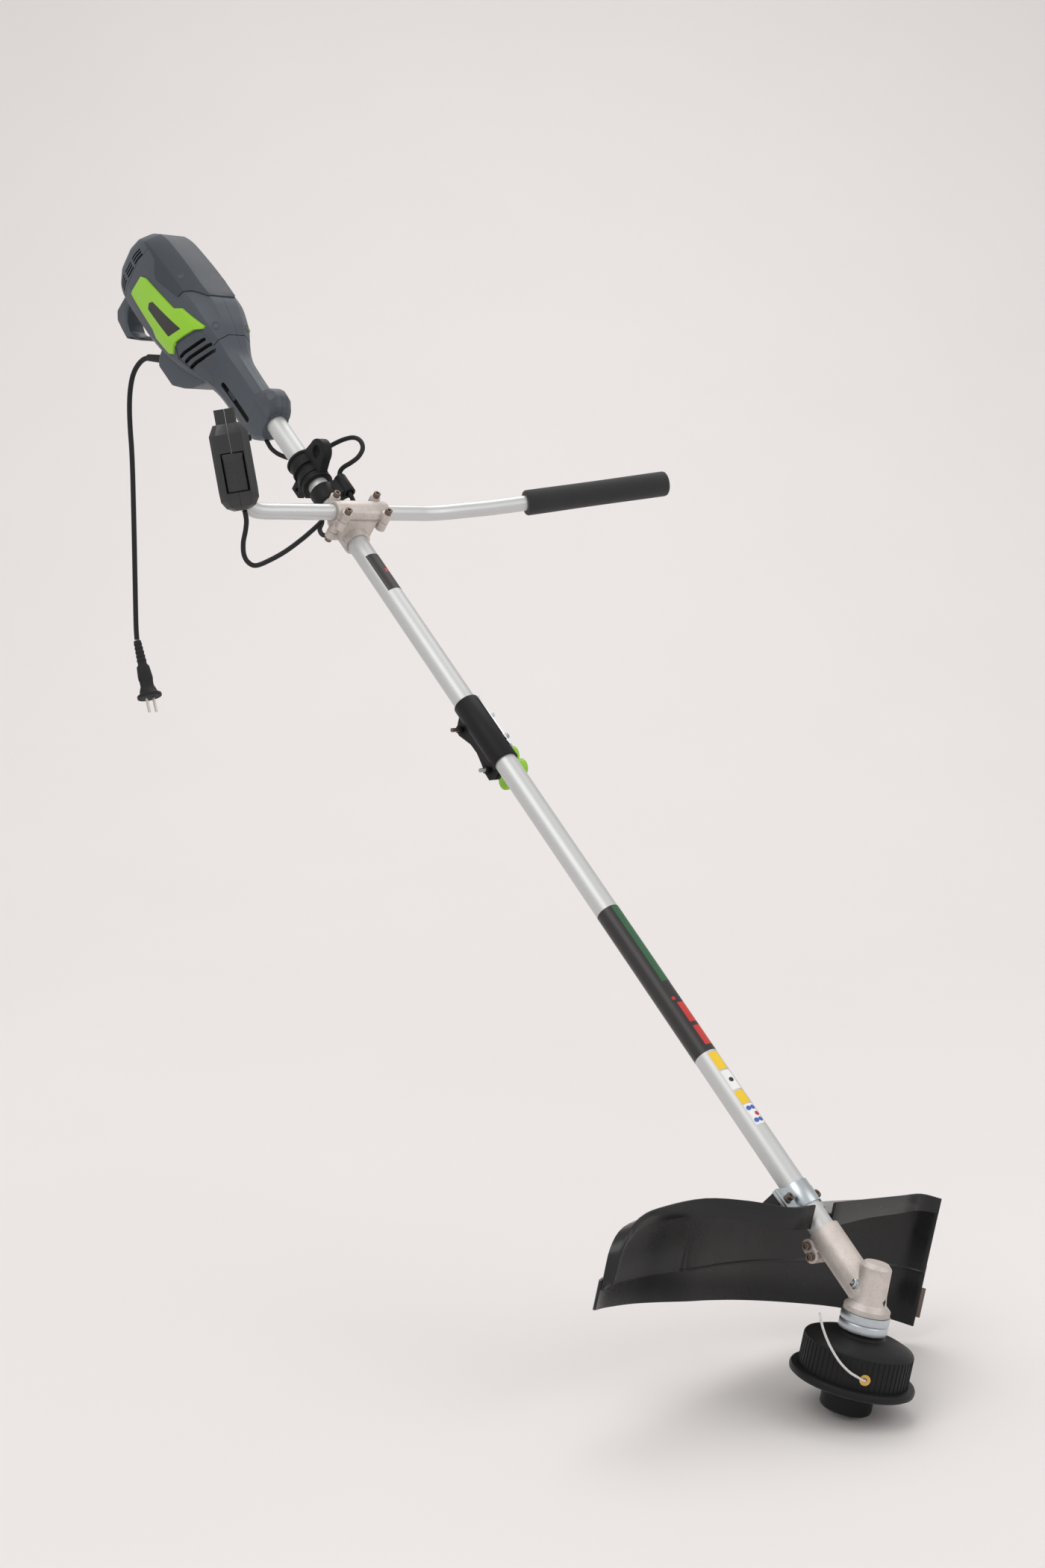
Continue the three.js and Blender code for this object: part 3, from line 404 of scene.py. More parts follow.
def plated_metal(name, colour, rough=0.22, depth=0.06):
    """Plated or machined metal: faint spangle and handling marks."""
    s = Shader(name)
    spangle = s.cells(240.0)
    marks = s.noise(90.0, 6.0, 0.7)
    return s.finish(
        Base_Color=s.mix(marks, shade(colour, 0.82), shade(colour, 1.1)),
        Metallic=1.0,
        Roughness=rough + 0.16 * marks + 0.06 * spangle,
        Normal=s.bump(marks, depth, 0.0004),
    )


def foam_rubber(name, colour):
    """Closed-cell foam: small open cells in the skin."""
    s = Shader(name)
    cell = s.cells(900.0)
    coarse = s.noise(180.0, 5.0, 0.65)
    pit = s.step(cell, 0.1, 0.62)
    return s.finish(
        Base_Color=s.mix(pit * 0.6 + coarse * 0.4, shade(colour, 0.55), shade(colour, 1.5)),
        Roughness=0.86 + 0.1 * coarse,
        Sheen_Weight=0.12,
        Sheen_Roughness=0.6,
        Normal=s.bump(pit * 0.7 + coarse * 0.5, 0.5, 0.0007),
    )


def soft_rubber(name, colour, rough=0.62):
    """Lead jacket: satin, with a faint bloom."""
    s = Shader(name)
    bloom = s.noise(45.0, 5.0, 0.6)
    fine = s.noise(2100.0, 2.0)
    return s.finish(
        Base_Color=s.mix(bloom, shade(colour, 0.8), shade(colour, 1.5)),
        Roughness=rough + 0.14 * bloom,
        Normal=s.bump(fine, 0.1, 0.0003),
        Specular_IOR_Level=0.3,
    )


def film(name, colour, rough=0.34):
    """Printed adhesive film with a faint orange peel."""
    s = Shader(name)
    peel = s.noise(700.0, 2.0)
    cloud = s.noise(60.0, 4.0)
    return s.finish(
        Base_Color=s.mix(cloud, shade(colour, 0.92), shade(colour, 1.08)),
        Roughness=rough + 0.08 * cloud,
        Normal=s.bump(peel, 0.04, 0.0003),
    )


def clear_line(name, colour):
    """Translucent nylon line with a slight haze."""
    s = Shader(name)
    haze = s.noise(160.0, 3.0)
    return s.finish(
        Base_Color=s.mix(haze, shade(colour, 0.85), colour),
        Roughness=0.22 + 0.12 * haze,
        Transmission_Weight=0.35,
        IOR=1.53,
    )


# ---- settings
def tint(label, default):
    return FloatVectorProperty(name=label, description=label + " colour", subtype="COLOR", size=3, min=0,
                               max=1, default=default)


def length(label, default, about):
    return FloatProperty(name=label, description=about, subtype="DISTANCE", unit="LENGTH",
                         default=default * MM)


class TrimmerColours(PropertyGroup):
    shell: tint("Housing", (0.052, 0.064, 0.08))
    accent: tint("Accent", (0.26, 0.56, 0.01))
    black: tint("Black plastic", (0.013, 0.013, 0.014))
    rubber: tint("Lead jacket", (0.012, 0.012, 0.013))
    foam: tint("Foam grip", (0.014, 0.014, 0.015))
    tube: tint("Anodised tube", (0.6, 0.61, 0.61))
    cast: tint("Casting", (0.64, 0.585, 0.55))
    zinc: tint("Zinc plate", (0.55, 0.6, 0.63))
    steel: tint("Steel", (0.42, 0.42, 0.43))
    bolt: tint("Bolts", (0.2, 0.155, 0.13))
    brass: tint("Brass", (0.7, 0.44, 0.12))
    line: tint("Nylon line", (0.86, 0.85, 0.82))


class TrimmerSizes(PropertyGroup):
    tube_radius: length("Boom radius", 13.0, "Outside radius of the boom tubes")
    foam_radius: length("Foam radius", 16.0, "Outside radius of the foam grip")
    cord_diameter: length("Mains lead", 7.0, "Diameter of the mains lead")
    lead_radius: length("Control lead", 2.9, "Radius of the control leads")
    head_radius: length("Head radius", 53.5, "Radius of the line head")
    flutes: IntProperty(name="Head flutes", description="Number of grip flutes round the head", default=60,
                        min=12)
    ribs: IntProperty(name="Relief ribs", description="Number of ribs on the plug's strain relief", default=5,
                      min=2)


def make_finishes():
    c = bpy.context.scene.trimmer_colours
    FINISHES.update(
        shell=moulded("shell_grey", c.shell, 0.42, 2400.0, 0.1, coat=0.05, shine=0.42),
        # Painted shade: a darker copy of the housing grey, used on the hood to stand in for the shade it sits
        # in.
        shell_dark=moulded("shell_grey_painted_shade", shade(c.shell, 0.72), 0.46, 2400.0, 0.1, shine=0.3),
        # Near-black finish: painted shade on the walls of slots and vents, and the dark seam joint between
        # the halves.
        dark_hollow=moulded("hollow_painted_shade_and_dark_joint", (0.006, 0.006, 0.007), 0.8),
        accent=moulded("accent_green", c.accent, 0.3, 3000.0, 0.04, coat=0.3),
        black=moulded("black_satin", c.black, 0.44, 2200.0, 0.14, shine=0.16),
        # Painted sheen: a lightened copy of the black plastic stands in for the highlights on the throttle's
        # gloss facets.
        black_case=moulded("black_case", shade(c.black, 1.3), 0.24, 2600.0, 0.1, shine=0.6),
        black_gloss=moulded("black_glossy", shade(c.black, 0.75), 0.24, 1500.0, 0.03, scuff=0.1, shine=0.42),
        rubber=soft_rubber("lead_jacket", c.rubber),
        foam=foam_rubber("grip_foam", c.foam),
        tube=drawn_metal("tube_anodised", c.tube),
        bar=drawn_metal("bar_anodised", c.tube, 0.26, (0, 0, math.radians(90))),
        cast=cast_metal("die_casting", c.cast),
        zinc=plated_metal("zinc_bright", c.zinc),
        steel=plated_metal("steel_machined", c.steel, 0.26),
        bolt=plated_metal("bolt_bronzed", c.bolt, 0.3, 0.12),
        brass=plated_metal("brass_polished", c.brass, 0.2),
        copper=plated_metal("winding_copper", (0.5, 0.2, 0.08), 0.35),
        line=clear_line("nylon_clear", c.line),
        film_dark=film("film_dark", (0.02, 0.018, 0.018)),
        film_green=film("film_green", (0.02, 0.1, 0.04)),
        film_red=film("film_red", (0.5, 0.03, 0.025)),
        film_yellow=film("film_yellow", (0.83, 0.55, 0.02)),
        film_white=film("film_white", (0.8, 0.8, 0.8)),
        film_blue=film("film_blue", (0.05, 0.12, 0.45)),
        plug_metal=plated_metal("plug_nickel", (0.66, 0.63, 0.58), 0.2),
    )


# ---- housing
SPLIT = 0.12  # half the gap between the two halves
# Stations of the body along the boom: y, half width, top and bottom.
BODY = [(-470, 29, 10, -52), (-466, 36, 17, -61), (-456, 42, 26, -70), (-440, 46, 35, -76),
        (-422, 47.5, 40, -78), (-395, 49, 43, -78), (-360, 49, 45, -77.5), (-325, 48.5, 45, -73),
        (-295, 46.5, 46, -68), (-270, 42, 41, -62), (-250, 36, 36, -56), (-232, 29, 28.5, -50.5),
        (-214, 23, 22, -46.5), (-195, 19.5, 19.5, -45), (-160, 18, 18.5, -44.5), (-130, 18, 18.3, -43.5),
        (-114, 18, 18, -41), (-103, 17.6, 17.6, -34), (-94, 16.8, 16.8, -24)]
# Corners of the faceted section, round the right side from the top, as shares of half width and half height.
CORNERS = [(0.0, 1.0), (0.4, 1.0), (0.8, 0.76), (0.975, 0.38), (1.0, -0.32), (0.87, -0.7), (0.52, -0.96),
           (0.0, -1.0)]


def body_ring(station, grow=0.0):
    y, half, top, bottom = station
    middle, high = (top + bottom) / 2, (top - bottom) / 2 + grow
    right = [((half + grow) * u, y, middle + high * v) for u, v in CORNERS]
    left = [(-x, y, z) for x, y, z in right[-2:0:-1]]
    return right + left


def station_at(y):
    for a, b in zip(BODY, BODY[1:]):
        if a[0] <= y <= b[0]:
            t = (y - a[0]) / (b[0] - a[0])
            return tuple(p + t * (q - p) for p, q in zip(a, b))
    return BODY[0] if y < BODY[0][0] else BODY[-1]


def body_shape(y0, y1, grow=0.0):
    inside = [s for s in BODY if y0 + 2 < s[0] < y1 - 2]
    stations = [station_at(y0), *inside, station_at(y1)]
    line = catmull([Vector(s[:3]) for s in stations], 3)
    low = catmull([Vector((s[0], s[3], 0)) for s in stations], 3)
    return rings_mesh([body_ring((p.x, p.y, p.z, q.y), grow) for p, q in zip(line, low)])


def slot_tools(places, size, tilt, side, depth=14):
    """Slots with rounded ends, cut through one side; their near-black walls are painted shade for the hollow
    behind them.
    """
    tools = []
    for x, y, z in places:
        long, wide = size
        outline = [(wide / 2 * math.cos(a), (long - wide) / 2 * s + wide / 2 * math.sin(a))
                   for s, start in ((1, 0), (-1, 180))
                   for a in (math.radians(start + k * 30) for k in range(7))]
        shape = plated(outline, -depth / 2, depth / 2)
        where = shift(side * x, y, z) @ turn(tilt, "X")
        tools.append(tool(shape, SHAFT @ where, "dark_hollow"))
    return tools


# Outlines seen from the side, as (y, z).
PANEL = [(-402.2, -7.3), (-392, -2), (-314.3, 8.2), (-302.3, 17.7), (-259.7, 23), (-259.1, 19.1),
         (-267, 11.6), (-277.5, -6.4), (-285.6, -22.9), (-285.6, -31.1), (-284.3, -41.5), (-292.3, -46.6),
         (-324.8, -47.7), (-336.3, -41.9), (-405.4, -37.2), (-406.4, -33.4)]
LABEL = [(-362.3, -19.6), (-356.8, -13.6), (-286.4, -2.5), (-299.4, -25.4), (-358.6, -26.8)]
HOOD = [(-441, 21.4), (-416, 23.4), (-399, 23), (-381.5, 12.1), (-371.5, 10.5), (-322.4, 21.3),
        (-321.7, 30.3), (-315.2, 37.7), (-305, 42.5), (-295, 46), (-295, 80), (-441, 80)]
VENT_FRAME = [(-287, -28), (-277, -9), (-261, 16.6), (-238, 13.3), (-231, 5.3), (-247, -38), (-276, -42)]
FOOT = [(-342, -60), (-338, -90), (-331, -97), (-290, -96), (-265, -81), (-249, -68), (-232, -46),
        (-232, -30), (-342, -30)]
LOOP = [(-464, -58), (-471, -95), (-474, -113), (-465, -123), (-448, -125.5), (-430, -127), (-400, -107),
        (-371, -86), (-356, -79.5), (-372, -79.6), (-390, -92), (-412, -111), (-428, -115.5), (-442, -110),
        (-452, -96), (-451, -80), (-450, -68)]
# Rings of the raised collar over the tube clamp: y and top.
COLLAR = [(-137, 19), (-127, 31), (-118, 35), (-107, 34), (-98, 25), (-95, 18)]


def skin_patch(name, outline, y0, y1, low, high, x0, x1, finish):
    """The layer between two offsets of the body surface, trimmed to an outline seen from the side."""
    obj = raw_object(name, body_shape(y0, y1, high), SHAFT, finish)
    if low is not None:
        carved(obj, [tool(body_shape(y0 - 1, y1 + 1, low), SHAFT, finish)])
    return carved(obj, [tool(plated(outline, x0, x1), SHAFT, finish)], "INTERSECT")


class TRIMMER_OT_housing(Operator):
    """Moulded motor housing halves, rear cover with hook loop, side panels and their details"""
    bl_idname = "trimmer.housing"
    bl_label = "Motor housing"

    def execute(self, context):
        for side, name in ((1, "right"), (-1, "left")):
            self.half(side, name)
            self.panel(side, name)
        self.rear()
        # The hood's darker grey is painted shade over the same plastic as the housing.
        hood = skin_patch("motor_hood", HOOD, -441, -270, None, 1.3, -60, 60, "shell_dark")
        bevelled(hood, 1.0, 24, 2)
        settled(hood, "main_frame", (), 17)
        for side, tag in ((1, "right"), (-1, "left")):
            self.marks(side, tag)
            ribs = [boxed((1.2, 1.4, 5.0), (side * 1.8, y, 0)) for y in (-6, -3, 0, 3, 6)]
            slide = joined(boxed((3, 17, 5.6)), *ribs)
            piece("neck_slide_" + tag, slide, SHAFT @ shift(side * 15.4, -176, -20.5), "shell", "main_frame",
                  (), 30, bevel=0.3)
        return {"FINISHED"}

    def half(self, side, name):
        obj = raw_object("housing_" + name + "_shell", body_shape(-425, -94), SHAFT, "shell")
        bevelled(obj, 1.5, 14, 2)
        foot = raw_object("foot", plated(FOOT, -21, 21), SHAFT, "shell")
        bevelled(foot, 2.2, 25, 2)
        rings = [[(16.5, y, 6), (16.5, y, t - 7), (8.5, y, t), (-8.5, y, t), (-16.5, y, t - 7), (-16.5, y, 6)]
                 for y, t in COLLAR]
        collar = raw_object("collar", rings_mesh(rings), SHAFT, "shell")
        bevelled(collar, 1.0, 22, 2)
        carved(obj, [foot, collar], "UNION")
        bore = turned([(0, -230), (13.3, -230), (13.3, -60), (0, -60)], 48)
        far_half = boxed((80, 420, 240), (-side * (40 - SPLIT), -250, -20))
        tools = [tool(far_half, SHAFT, "dark_hollow"), tool(bore, SHAFT, "dark_hollow")]
        x0, x1 = sorted((side * 12, side * 60))
        tools.append(skin_patch("recess", VENT_FRAME, -300, -215, -0.9, 3, x0, x1, "shell"))
        tools += slot_tools([(38, -262, -14), (38, -251.5, -13.6), (38, -241.5, -14.5)], (56, 4.6), -26, side,
                            24)
        tools += slot_tools([(17.5, -162, -20.5)], (76, 7.5), 90, side, 9)
        seam = [(-236.2, 8), (-235.2, 8), (-235.2, 60), (-236.2, 60)]
        tools.append(skin_patch("seam", seam, -240, -231, -0.6, 3, -60, 60, "dark_hollow"))
        carved(obj, tools)
        settled(obj, "main_frame", ("housing_" + name,), 17)

    def rear(self):
        obj = raw_object("rear_cover_shell", body_shape(-470, -425.6), SHAFT, "shell")
        bevelled(obj, 1.8, 14, 2)
        loop = raw_object("loop", plated(LOOP, -13, 13), SHAFT, "shell")
        bevelled(loop, 2.6, 20, 3)
        carved(obj, [loop], "UNION")
        tools = []
        for side in (1, -1):
            rows = [(41, y + (z + 21) * 0.1, z) for y in (-442, -436.5, -431) for z in (-44, -21, 2)]
            tools += slot_tools(rows, (19, 3), -6, side, 22)
        carved(obj, tools)
        settled(obj, "main_frame", ("rear_cover",), 17)

    def panel(self, side, name):
        x0, x1 = sorted((side * 20, side * 60))
        obj = skin_patch("side_panel_" + name + "_skin", PANEL, -424, -200, None, 2.8, x0, x1, "accent")
        bevelled(obj, 1.3, 30, 3)
        settled(obj, "main_frame", ("side_panel_" + name,), 30)
        label = skin_patch("side_label_" + name, LABEL, -424, -200, None, 3.1, x0, x1, "film_dark")
        settled(label, "main_frame", (), 30)

    def marks(self, side, tag):
        """Screw heads and round bosses set square to the shell under them."""
        base = bpy.data.objects["housing_" + tag + "_shell"]
        disc = [(0, 0.5), (3.6, 0.5), (3.6, 0.1), (4.3, 0.1), (4.3, 0.7), (5.4, 0.7), (6.0, 0.0), (6.0, -3),
                (0, -3)]
        screw = [(0, -1.4), (1.4, -1.4), (1.6, 0.1), (2.6, 0.1), (3.0, -0.4), (3.0, -3), (0, -3)]
        rim = [(3.2, 0.5), (4.6, 0.5), (5.2, 0.0), (5.2, -2.5), (3.0, -2.5), (3.0, 0.1)]
        spots = [("boss_large", disc, 1.0, (24, -253, 30), "shell"),
                 ("boss_ring", disc, 0.8, (34, -346.5, 37), "shell"),
                 ("screw_neck", screw, 1.1, (22, -217, -32.6), "bolt"),
                 ("pocket_neck", rim, 0.9, (22, -217, -32.6), "shell"),
                 ("screw_collar", screw, 1.0, (17, -124, 22), "bolt"),
                 ("screw_loop", screw, 1.1, (13, -452, -119), "bolt")]
        for name, profile, size, (x, y, z), finish in spots:
            start = SHAFT @ (Vector((side * x, y, z)) * MM)
            target = bpy.data.objects["rear_cover_shell"] if "loop" in name else base
            _, spot, normal, _ = target.closest_point_on_mesh(start)
            lift = 1.2 * MM if name == "boss_ring" else 0.0
            where = Matrix.Translation(spot + normal * lift) @ facing(normal)
            shape = turned([(r * size, h * size) for r, h in profile], 28)
            piece(name + "_" + tag, shape, where, finish, "main_frame", (), 30)


# ---- boom tubes, coupler and labels
def wrap(y0, y1, a0, a1, radius, steps=28):
    """A thin film bent round the boom, between two angles from straight up towards the right."""
    inner, outer = [], []
    for k in range(steps + 1):
        a = math.radians(a0 + (a1 - a0) * k / steps)
        inner.append((radius * math.sin(a), radius * math.cos(a)))
        outer.append(((radius + 0.14) * math.sin(a), (radius + 0.14) * math.cos(a)))
    ring = outer + inner[::-1]
    return rings_mesh([[(x, y, z) for x, z in ring] for y in (y0, y1)])


class TRIMMER_OT_boom(Operator):
    """Anodised boom tubes with their films, coupler, latch and clamp knob"""
    bl_idname = "trimmer.boom"
    bl_label = "Boom and coupler"

    def execute(self, context):
        r = context.scene.trimmer_sizes.tube_radius / MM
        for name, body, place, y0, y1 in (("upper_tube", "main_frame", SHAFT, -200, 451.7),
                                          ("lower_tube", "lower_boom", LOWER, 452, 1176)):
            shape = turned([(11.4, y0), (r - 0.5, y0), (r, y0 + 0.5), (r, y1 - 0.5), (r - 0.5, y1),
                            (11.4, y1)], 72)
            piece(name + "_drawn", shape, place, "tube", body, (name,))
        films = [("film_front", "film_dark", SHAFT, "main_frame", 162, 222, -44, 52),
                 ("film_front_edge", "film_red", SHAFT, "main_frame", 188, 194, -22, 0),
                 ("film_wrap", "film_dark", LOWER, "lower_boom", 723, 921, -80, 150),
                 ("film_wrap_green", "film_green", LOWER, "lower_boom", 724, 829, -62, 32),
                 ("film_wrap_mark_a", "film_red", LOWER, "lower_boom", 858, 884, -18, 30),
                 ("film_wrap_mark_b", "film_red", LOWER, "lower_boom", 889, 914, -18, 30),
                 ("film_wrap_mark_c", "film_red", LOWER, "lower_boom", 850, 854, 24, 40),
                 ("film_yellow_a", "film_yellow", LOWER, "lower_boom", 924, 946, -6, 46),
                 ("film_white_a", "film_white", LOWER, "lower_boom", 948, 972, -6, 46),
                 ("film_yellow_b", "film_yellow", LOWER, "lower_boom", 974, 990, -6, 46),
                 ("film_white_b", "film_white", LOWER, "lower_boom", 991, 1016, -6, 46)]
        layers = {"film_wrap_green": 0.15, "film_wrap_mark_a": 0.15, "film_wrap_mark_b": 0.15,
                  "film_wrap_mark_c": 0.15, "film_front_edge": 0.15}
        for name, finish, place, body, y0, y1, a0, a1 in films:
            shape = wrap(y0, y1, a0, a1, r + 0.02 + layers.get(name, 0))
            piece(name, shape, place, finish, body, (), 40)
        dots = [(996, 6, "film_blue"), (996, 30, "film_blue"), (1004, 6, "film_red"),
                (1004, 30, "film_white"), (1011, 6, "film_blue"), (1011, 30, "film_blue"),
                (960, 20, "film_dark")]
        for k, (y, a, finish) in enumerate(dots):
            dot = turned([(0, 0.1), (2.7, 0.1), (2.7, -0.5), (0, -0.5)], 20)
            where = LOWER @ turn(a, "Y") @ shift(0, y, r + 0.12) @ turn(90, "X")
            piece(f"film_dot_{k}", dot, where, finish, body="lower_boom")
        refined("coupler_sleeve", "black", 0.5)
        knob = refined("clamp_knob", "accent", 1.6, angle=50)
        self.threads(knob, ("black", 0.0), ("steel", 13.0))
        bolt = refined("coupler_bolt", "bolt", 0.25)
        self.threads(bolt, ("black", 0.0), ("bolt", 13.0))
        refined("latch_strip", "zinc", 0.25)
        refined("latch_pin", "steel", 0.25)
        return {"FINISHED"}

    def threads(self, obj, *bands):
        """Gives the nut and the screw end their own finishes, each from a place across the boom."""
        for finish, start in bands:
            obj.data.materials.append(FINISHES[finish])
            index = len(obj.data.materials) - 1
            for polygon in obj.data.polygons:
                if polygon.center.x > start * MM:
                    polygon.material_index = index


# ---- handlebar
# Centreline of the bar from the grip end to the throttle end.
LEFT_ARM = [(-398, 161.5, 130), (-320, 146, 100.5), (-234, 128.8, 68), (-192, 120, 52), (-160, 113, 41)]
MIDDLE = [(-130, 107.5, 32), (-105, 106, 29), (-80, 106, 29), (0, 106, 29), (60, 106, 29)]
RIGHT_BEND = [(110, 106, 29), (136, 106, 29), (151, 104.6, 30.4), (162, 100.5, 34.8), (169, 94.5, 41.5),
              (173.5, 88, 48.8), (178, 76, 62)]


class TRIMMER_OT_handlebar(Operator):
    """Bent handlebar with its cast clamp, foam grip and throttle handle"""
    bl_idname = "trimmer.handlebar"
    bl_label = "Handlebar"

    def execute(self, context):
        line = catmull([*LEFT_ARM, *MIDDLE, *RIGHT_BEND], 7)
        piece("handlebar_bent", swept(line, 9.7, 40), SHAFT, "bar", "handlebar_assembly", ("handlebar",),
              40)
        self.foam(context)
        for node in ("clamp_base", "bar_cap", "tube_cap"):
            refined(node, "cast", 0.8, smooth=36, angle=34)
        self.throttle()
        return {"FINISHED"}

    def foam(self, context):
        r = context.scene.trimmer_sizes.foam_radius / MM
        start, end = Vector((-232, 128.4, 67.3)), Vector((-410, 164, 134.4))
        span = (end - start).length
        up = (end - start).normalized()
        where = SHAFT @ Matrix.Translation(start * MM) @ facing(up)
        profile = [(10.2, 0), (r - 2.2, 0), (r - 0.8, 0.6), (r, 2.2)]
        profile += [(r - 0.35 * math.sin(math.pi * share) ** 2, 2.2 + (span - 6) * share)
                    for share in (k / 9 for k in range(1, 9))]
        profile += [(r, span - 3.8), (r - 0.7, span - 1.4), (r - 2.4, span), (8.5, span), (7.8, span - 0.8),
                    (0, span - 0.8), (0, span - 4), (10.2, span - 4)]
        obj = piece("foam_grip_sleeve", turned(profile, 56), where, "foam", "handlebar_assembly",
                    ("foam_grip",), 50)

    def throttle(self):
        # Case and trigger take the lightened black, a painted sheen on their gloss facets.
        for node in ("throttle_case_right", "throttle_case_left"):
            refined(node, "black_case", 0.5, smooth=16, angle=18)
        refined("throttle_trigger", "black_case", 1.2, smooth=30, angle=22)
        refined("lock_button", "black", 0.4)


# ---- clamps on the boom
class TRIMMER_OT_clamps(Operator):
    """Harness clamp and lead clip on the boom"""
    bl_idname = "trimmer.clamps"
    bl_label = "Harness clamp and clip"

    def execute(self, context):
        refined("harness_clamp", "black", 0.9, angle=30)
        refined("cable_clip", "black", 0.7, angle=30)
        for k, y in enumerate((-23, -6, 10, 19.5)):
            rim = turned([(17.5, y), (19.6, y), (20.0, y + 0.4), (20.0, y + 3.1), (19.6, y + 3.5),
                          (17.5, y + 3.5)], 48)
            piece(f"clamp_rim_{k}", rim, SHAFT, "black", "main_frame", (), 30)
        return {"FINISHED"}


# ---- leads
# The mains lead runs in the frame of the whole object, the control leads along the boom.
MAINS_ROUTE = [(5, -386, 138.1), (5, -398, 136.6), (5, -410, 131.5), (5, -421, 123), (5, -429, 111),
               (5, -434.5, 93), (5, -436.5, 71), (5, -435.5, 45), (5, -433, 19), (5, -431.5, -12),
               (5, -430.8, -63), (5, -430.5, -120), (5, -430.5, -180), (5, -430.2, -225), (5, -428.5, -244)]
PLUG = shift(5, -428, -245.6) @ turn(111.5, "X")  # -Y from the lead's end to the pins
LEAD_ENTRY = [(1, -103, -27), (0, -94, -29.5), (-2, -84, -31.5), (-6, -70, -29), (-14, -55, -22)]
UPPER_LEAD = [*LEAD_ENTRY, (-24, -40, -6), (-31, -31, 10), (-35, -24, 27), (-38, -12, 46), (-40, 0, 58.5),
              (-40, 13, 63.5), (-38, 24, 61), (-32, 30, 53), (-26, 29.5, 43), (-21.5, 26.5, 33.5),
              (-19.3, 26.5, 26.5), (-18.3, 31, 21), (-18, 38, 20), (-18, 45.5, 20)]
LOWER_LEAD = [(-18, 46.5, 20), (-18, 56, 20), (-18.5, 63, 19), (-22, 70, 13), (-24.5, 74, 3), (-23, 77, -10),
              (-14, 79, -22), (0, 82, -27.5), (14, 85, -26), (27, 89, -14), (31, 91.5, -2), (36, 95, 5),
              (44, 101, 5), (56, 107.5, 0), (70, 114, -7), (94, 124, -17), (118, 132, -24), (140, 139, -26),
              (152, 138, -22.5), (162, 136, -12), (167.5, 132, 3), (168, 127, 17), (169, 122, 28),
              (172.5, 116, 38)]
LINE_ROUTE = [(35.5, -64, -30.8), (40.4, -64, -35.1), (43, -64, -37.4), (47.5, -63, -38), (52.5, -60.5, -34),
              (56, -57.5, -25), (58, -51, -13.5), (59.8, -39.5, -1), (61.2, -26.8, 8.5), (62.2, -14, 14.8)]


def span_of(line):
    return sum((b - a).length for a, b in zip(line, line[1:]))


class TRIMMER_OT_leads(Operator):
    """Mains lead with its plug, the control leads and the trimmer line"""
    bl_idname = "trimmer.leads"
    bl_label = "Leads and line"

    def execute(self, context):
        sizes = context.scene.trimmer_sizes
        line = catmull(MAINS_ROUTE, 6)
        cord = piece("mains_lead", swept(line, sizes.cord_diameter / MM / 2, 20), WORLD, "rubber",
                     "main_frame", ("mains_cord",), 60)
        plug = self.plug()
        pins = self.pins()
        refined("strain_relief", "rubber", 0.5)
        path = [tuple(p * MM) for p in line]
        span_of(line) * MM
        for name, route in (("control_lead_upper", UPPER_LEAD), ("control_lead_lower", LOWER_LEAD)):
            piece(name + "_jacket", swept(catmull(route, 7), sizes.lead_radius / MM, 16), SHAFT, "rubber",
                  "main_frame", (name,), 60)
        self.nylon()
        return {"FINISHED"}

    def plug(self):
        ribs = bpy.context.scene.trimmer_sizes.ribs
        profile = [(0, 0), (4.6, 0), (5.2, -1)]
        for k in range(ribs):
            y = -3 - 30 / ribs * k
            profile += [(5.0 + 0.25 * k, y), (5.6 + 0.25 * k, y - 0.8), (5.6 + 0.25 * k, y - 3.0),
                        (5.1 + 0.25 * k, y - 3.8)]
        profile += [(6.4, -35), (8.6, -38), (10.2, -52), (10.2, -56), (9.4, -60), (9.4, -66), (11.6, -72),
                    (13, -77), (16, -78), (17, -79), (17, -82.4), (16.4, -83), (0, -83)]
        shape = turned(profile, 48)
        points = []
        for p in shape[0]:
            v = Vector(p)
            squeeze = 1.0 - 0.22 * max(0.0, min(1.0, (-v.y - 35) / 8)) * max(0.0, min(1.0, (v.y + 77) / 6))
            points.append((v.x * (1.0 + 0.06 * (squeeze < 1)), v.y, v.z * squeeze))
        return piece("mains_plug", (points, shape[1]), PLUG, "rubber", "main_frame", ("plug",), 40)

    def pins(self):
        pin = [(0, -82), (2.0, -82), (2.0, -103), (1.5, -104), (0, -104)]
        shapes = [placed(turned(pin, 20), Matrix.Translation(Vector((x, 0, 0)))) for x in (-5.5, 5.5)]
        return piece("plug_pins", joined(*shapes), PLUG, "plug_metal", "main_frame", (), 40)

    def nylon(self):
        line = catmull(LINE_ROUTE, 6)
        obj = piece("nylon_line", swept(line, 1.2, 12), OUTPUT, "line", "cutting_head", ("trimmer_line",),
                    60)
        path = [tuple(OUTPUT @ (p * MM)) for p in line]
        span_of(line) * MM


